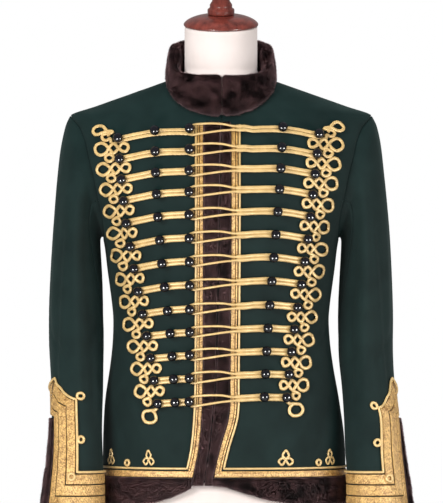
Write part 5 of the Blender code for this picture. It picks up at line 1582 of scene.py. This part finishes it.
def curve_through(points, count, closed):
    """An even number of points on a curve through all the given ones."""
    line = smooth(points, COLLAR_STEP, closed)
    whole = line + [line[0]] if closed else line
    lengths = [0.0]
    for k in range(1, len(whole)):
        lengths.append(lengths[-1] + (whole[k] - whole[k - 1]).length)
    made, at = [], 0
    for k in range(count):
        target = lengths[-1] * k / (count if closed else count - 1)
        while at < len(lengths) - 2 and lengths[at + 1] < target:
            at += 1
        span = max(lengths[at + 1] - lengths[at], 1e-6)
        made.append(whole[at].lerp(whole[at + 1], min((target - lengths[at]) / span, 1.0)))
    return made


def collar_rings():
    around = [curve_through(ring, COLLAR_SIDES, True) for ring in collar_sections()]
    strands = [curve_through([ring[c] for ring in around], COLLAR_RINGS, False) for c in range(COLLAR_SIDES)]
    rings = [list(ring) for ring in zip(*strands)]
    for k, share in COLLAR_ENDS:
        middle = sum(rings[k], Vector()) / len(rings[k])
        rings[k] = [middle.lerp(point, share) for point in rings[k]]
    return rings


fur_band("collar", collar_rings(), "collar", 41)

# %% [markdown]
# ## The dress form
#
# The form is padded and covered in cream jersey. It follows the cloth from inside at a small distance and
# rises into a plain neck that leans a little forward, under a turned and varnished cap.

# %% The jersey form
FORM_CLEAR, FORM_HALF_WIDTH, FORM_TURNS = 6.4, 190.0, 120
FORM_EASES = table("z reach depth", (400, 110, 9.0), (528, 30, 4.0), (704, 22, 5.0), (757, 14, 5.0))
NECK_RADIUS, NECK_TOP_Y, NECK_TOP_Z, NECK_TILT = 55.5, -25.0, 857.0, 11.0
# The rounded lower rim: a height and how far the form is drawn in there.
FORM_RIM = ((90, 16), (91, 9), (94, 4.5), (98, 2), (104, 0))
FORM_ROW_Z, FORM_ROW_STEP = 110, 6
NECK_FOOT, NECK_FOOT_Z, NECK_FOOT_SPREAD = 6, 775, 20
NECK_LOW_Z, NECK_LEAN_Z, NECK_HIGH_Z, NECK_ROWS = 783, 780, 851, 12
NECK_RIM = ((0.0, 1.2), (0.4, 0.4), (1.3, 0.0))
JERSEY_COLUMN, JERSEY_ROW = 8.5, 6.0


def form_reach(turn, z):
    turn = -abs(turn)
    out = Vector((math.sin(math.radians(turn)), -math.cos(math.radians(turn)), 0))
    clear = FORM_CLEAR + sum(ease.depth * bump(z - ease.z, ease.reach) for ease in FORM_EASES)
    return body_reach(turn, z) - crease_height(turn, z) - clear / max(body_normal(turn, z).dot(out), 0.2)


def neck_reach(turn, radius):
    a = math.radians(turn)
    return -NECK_Y * math.cos(a) + math.sqrt(radius**2 - (NECK_Y * math.sin(a)) ** 2)


def form_ring(reach_at, z, lean=0.0, slope=0.0):
    """A level ring of the form, moved back or forward by its lean and tilted forward by its slope."""
    points = []
    for turn in (360 * k / FORM_TURNS - 180 for k in range(FORM_TURNS)):
        reach, a = reach_at(turn), math.radians(turn)
        x, y = clamp(reach * math.sin(a), -FORM_HALF_WIDTH, FORM_HALF_WIDTH), -reach * math.cos(a) + lean
        point = Vector((x, y, z))
        points.append(point + Vector((0, 0, (point.y - NECK_TOP_Y) * slope)))
    return points


def form_rows():
    rows = [form_ring(lambda turn: form_reach(turn, z) - drawn_in, z) for z, drawn_in in FORM_RIM]
    for z in range(FORM_ROW_Z, NECK_LOW_Z, FORM_ROW_STEP):
        radius = NECK_RADIUS + NECK_FOOT * bump(z - NECK_FOOT_Z, NECK_FOOT_SPREAD)
        rows.append(form_ring(lambda turn: max(form_reach(turn, z), neck_reach(turn, radius)), z))
    tilt, top_lean = math.tan(math.radians(NECK_TILT)), NECK_TOP_Y - NECK_Y
    for k in range(1, NECK_ROWS + 1):
        z = blend(NECK_LOW_Z, NECK_HIGH_Z, k / NECK_ROWS)
        lean = top_lean * (z - NECK_LEAN_Z) / (NECK_TOP_Z - NECK_LEAN_Z)
        rows.append(form_ring(lambda turn: neck_reach(turn, NECK_RADIUS), z, lean, tilt * k / NECK_ROWS))
    for drawn_in, drop in NECK_RIM:
        radius = NECK_RADIUS - drawn_in
        rows.append(form_ring(lambda turn: neck_reach(turn, radius), NECK_TOP_Z - drop, top_lean, tilt))
    return rows


rows = form_rows()
piece = Piece("form_jersey")
piece.grid(rows, lambda r, c: (c * JERSEY_COLUMN, r * JERSEY_ROW), round_columns=True)
piece.caps(rows)
piece.make([JERSEY], "form_torso")

# %% Turned and varnished wood
# Outlines of the turned pieces: radius and height, from the foot up to the middle of the top.
CAP_PROFILE = (
    (54.6, 0.0), (56.6, 1.2), (56.9, 3.4), (55.4, 5.6), (51.5, 8.9), (45.0, 12.2), (37.0, 14.9),
    (26.0, 16.9), (12.0, 17.9), (0.01, 18.0),
)
FINIAL_PROFILE = (
    (20.0, 0.0), (20.5, 1.4), (20.5, 6.8), (19.8, 8.3), (17.8, 9.6), (17.0, 11.5), (17.0, 15.0),
    (14.2, 19.5), (12.5, 25.0), (14.0, 31.5), (18.2, 38.5), (20.0, 45.5), (19.4, 52.0), (16.0, 59.0),
    (10.0, 64.2), (0.01, 66.5),
)
POLE_PROFILE = (
    (16.0, 0.0), (16.0, 34.5), (16.0, 69.4), (0.01, 69.4),
)
BASE_PROFILE = (
    (148.6, 0.0), (150.0, 1.4), (150.0, 11.0), (149.2, 13.6), (147.0, 16.2), (144.0, 18.4), (138.0, 19.6),
    (60.0, 20.0), (0.01, 20.0),
)
TURNED_SIDES = 96


def turned(name, node, profile, foot, tilt, step=1.2):
    """A turned piece on its foot, leaning forward by its tilt."""
    piece = Piece(name)
    lean = Matrix.Rotation(math.radians(tilt), 3, "X")
    rows = []
    for spot in smooth([(*point, 0.0) for point in profile], step):
        rows.append([foot + lean @ Vector((x, y, spot.y)) for x, y in circle(TURNED_SIDES, spot.x)])
    piece.grid(rows, round_columns=True)
    piece.caps(rows)
    piece.make([WOOD], node, 60)


up = Matrix.Rotation(math.radians(NECK_TILT), 3, "X") @ Vector((0, 0, 1))
neck_top = Vector((0, NECK_TOP_Y, NECK_TOP_Z)) + up * SEAM_GAP
turned("wood_neck_cap", "neck_cap", CAP_PROFILE, neck_top, NECK_TILT)
turned("wood_finial", "finial", FINIAL_PROFILE, neck_top + up * (CAP_PROFILE[-1][1] + SEAM_GAP), NECK_TILT)
turned("wood_pole", "pole", POLE_PROFILE, Vector((0, 0, BASE_PROFILE[-1][1] + SEAM_GAP)), 0, 6.0)
turned("wood_base", "base", BASE_PROFILE, Vector((0, 0, 0)), 0, 3.0)

# %% [markdown]
# ## What is cloth
#
# A record for a cut of wool's flat width, length and area is set up here; no piece is given one.

Cut = namedtuple("Cut", "width length area")

# %% [markdown]
# ## Floor, light and camera
#
# The photograph is a plain studio shot on white with soft light from the front, and two small lamps show as
# twin glints on the buttons. The camera stands level with the middle of the jacket, far enough away to keep
# it square. These sizes are in metres.

# %% A plain pale floor
FLOOR_RADIUS, FLOOR_SIDES, FLOOR_Z = 1.9, 128, -0.001


def floor():
    paint = Recipe("pale_floor", Specular_IOR_Level=0.2)
    colour = paint.mix(paint.speckle(120.0), (0.80, 0.80, 0.79), (0.84, 0.84, 0.83))
    paint.finish(colour, 0.7, paint.speckle(3.0), 0.05, 0.3)
    data = bpy.data.meshes.new("floor")
    points = [(x, y, FLOOR_Z) for x, y in circle(FLOOR_SIDES, FLOOR_RADIUS)]
    data.from_pydata(points, [], [list(range(FLOOR_SIDES))])
    data.materials.append(paint.material)
    thing = bpy.data.objects.new("floor", data)
    bpy.context.scene.collection.objects.link(thing)


floor()

# %% Lights
WHITE = (1.0, 1.0, 1.0)
LAMPS = table(
    "name place width height power colour glint_only",
    ("left_glint", (-0.42, -0.88, 0.22), 0.27, 0.27, 17.0, (1.0, 0.98, 0.95), True),
    ("right_glint", (0.74, -0.60, 0.32), 0.27, 0.27, 13.0, (1.0, 0.98, 0.95), True),
    ("main_box", (-2.1, -2.5, 1.5), 1.1, 1.2, 80.0, (1.0, 1.0, 1.0), False),
    ("fill_box", (1.9, -2.9, 0.9), 1.4, 1.4, 50.0, (1.0, 1.0, 1.0), False),
    ("top_box", (0.0, -0.5, 2.6), 1.6, 1.2, 22.0, (0.93, 0.96, 1.0), False),
    ("back_box", (0.9, 2.6, 1.8), 1.8, 1.4, 45.0, (1.0, 1.0, 1.0), False),
)
LAMP_TARGET = Vector((0, 0, 0.5))
AMBIENT = 0.31
for lamp in LAMPS:
    light = bpy.data.lights.new(lamp.name, "AREA")
    light.shape = "RECTANGLE"
    light.size, light.size_y, light.energy, light.color = lamp.width, lamp.height, lamp.power, lamp.colour
    thing = bpy.data.objects.new(lamp.name, light)
    thing.location = lamp.place
    thing.rotation_euler = (LAMP_TARGET - Vector(lamp.place)).to_track_quat("-Z", "Y").to_euler()
    thing.visible_diffuse = not lamp.glint_only
    thing.visible_glossy = lamp.glint_only
    bpy.context.scene.collection.objects.link(thing)

world = bpy.data.worlds.new("white_studio")
world.use_nodes = True
bpy.context.scene.world = world
nodes, links = world.node_tree.nodes, world.node_tree.links
ambient, seen = nodes["Background"], nodes.new("ShaderNodeBackground")
for background, strength in ((ambient, AMBIENT), (seen, 1.0)):
    background.inputs["Color"].default_value = (*WHITE, 1)
    background.inputs["Strength"].default_value = strength
ray, chosen = nodes.new("ShaderNodeLightPath"), nodes.new("ShaderNodeMixShader")
for k, source in enumerate((ray.outputs["Is Camera Ray"], ambient.outputs[0], seen.outputs[0])):
    links.new(source, chosen.inputs[k])
links.new(chosen.outputs[0], nodes["World Output"].inputs[0])
bpy.context.scene.view_settings.view_transform = "Standard"
print("lamps:", len(LAMPS))

# %% Camera
PICTURE_HEIGHT, CAMERA_DISTANCE, SENSOR = 0.76456, 9.0, 24.0
AIM = Vector((0.0008, -0.06, 0.5133))
camera_data = bpy.data.cameras.new("camera")
camera_data.sensor_fit = "VERTICAL"
camera_data.sensor_height = SENSOR
camera_data.lens = SENSOR * CAMERA_DISTANCE / PICTURE_HEIGHT
camera_data.clip_end = 50.0
camera = bpy.data.objects.new("camera", camera_data)
camera.location = AIM - Vector((0, CAMERA_DISTANCE, 0))
camera.rotation_euler = (math.radians(90), 0, 0)
bpy.context.scene.collection.objects.link(camera)
bpy.context.scene.camera = camera
print("lens:", round(camera_data.lens, 1))
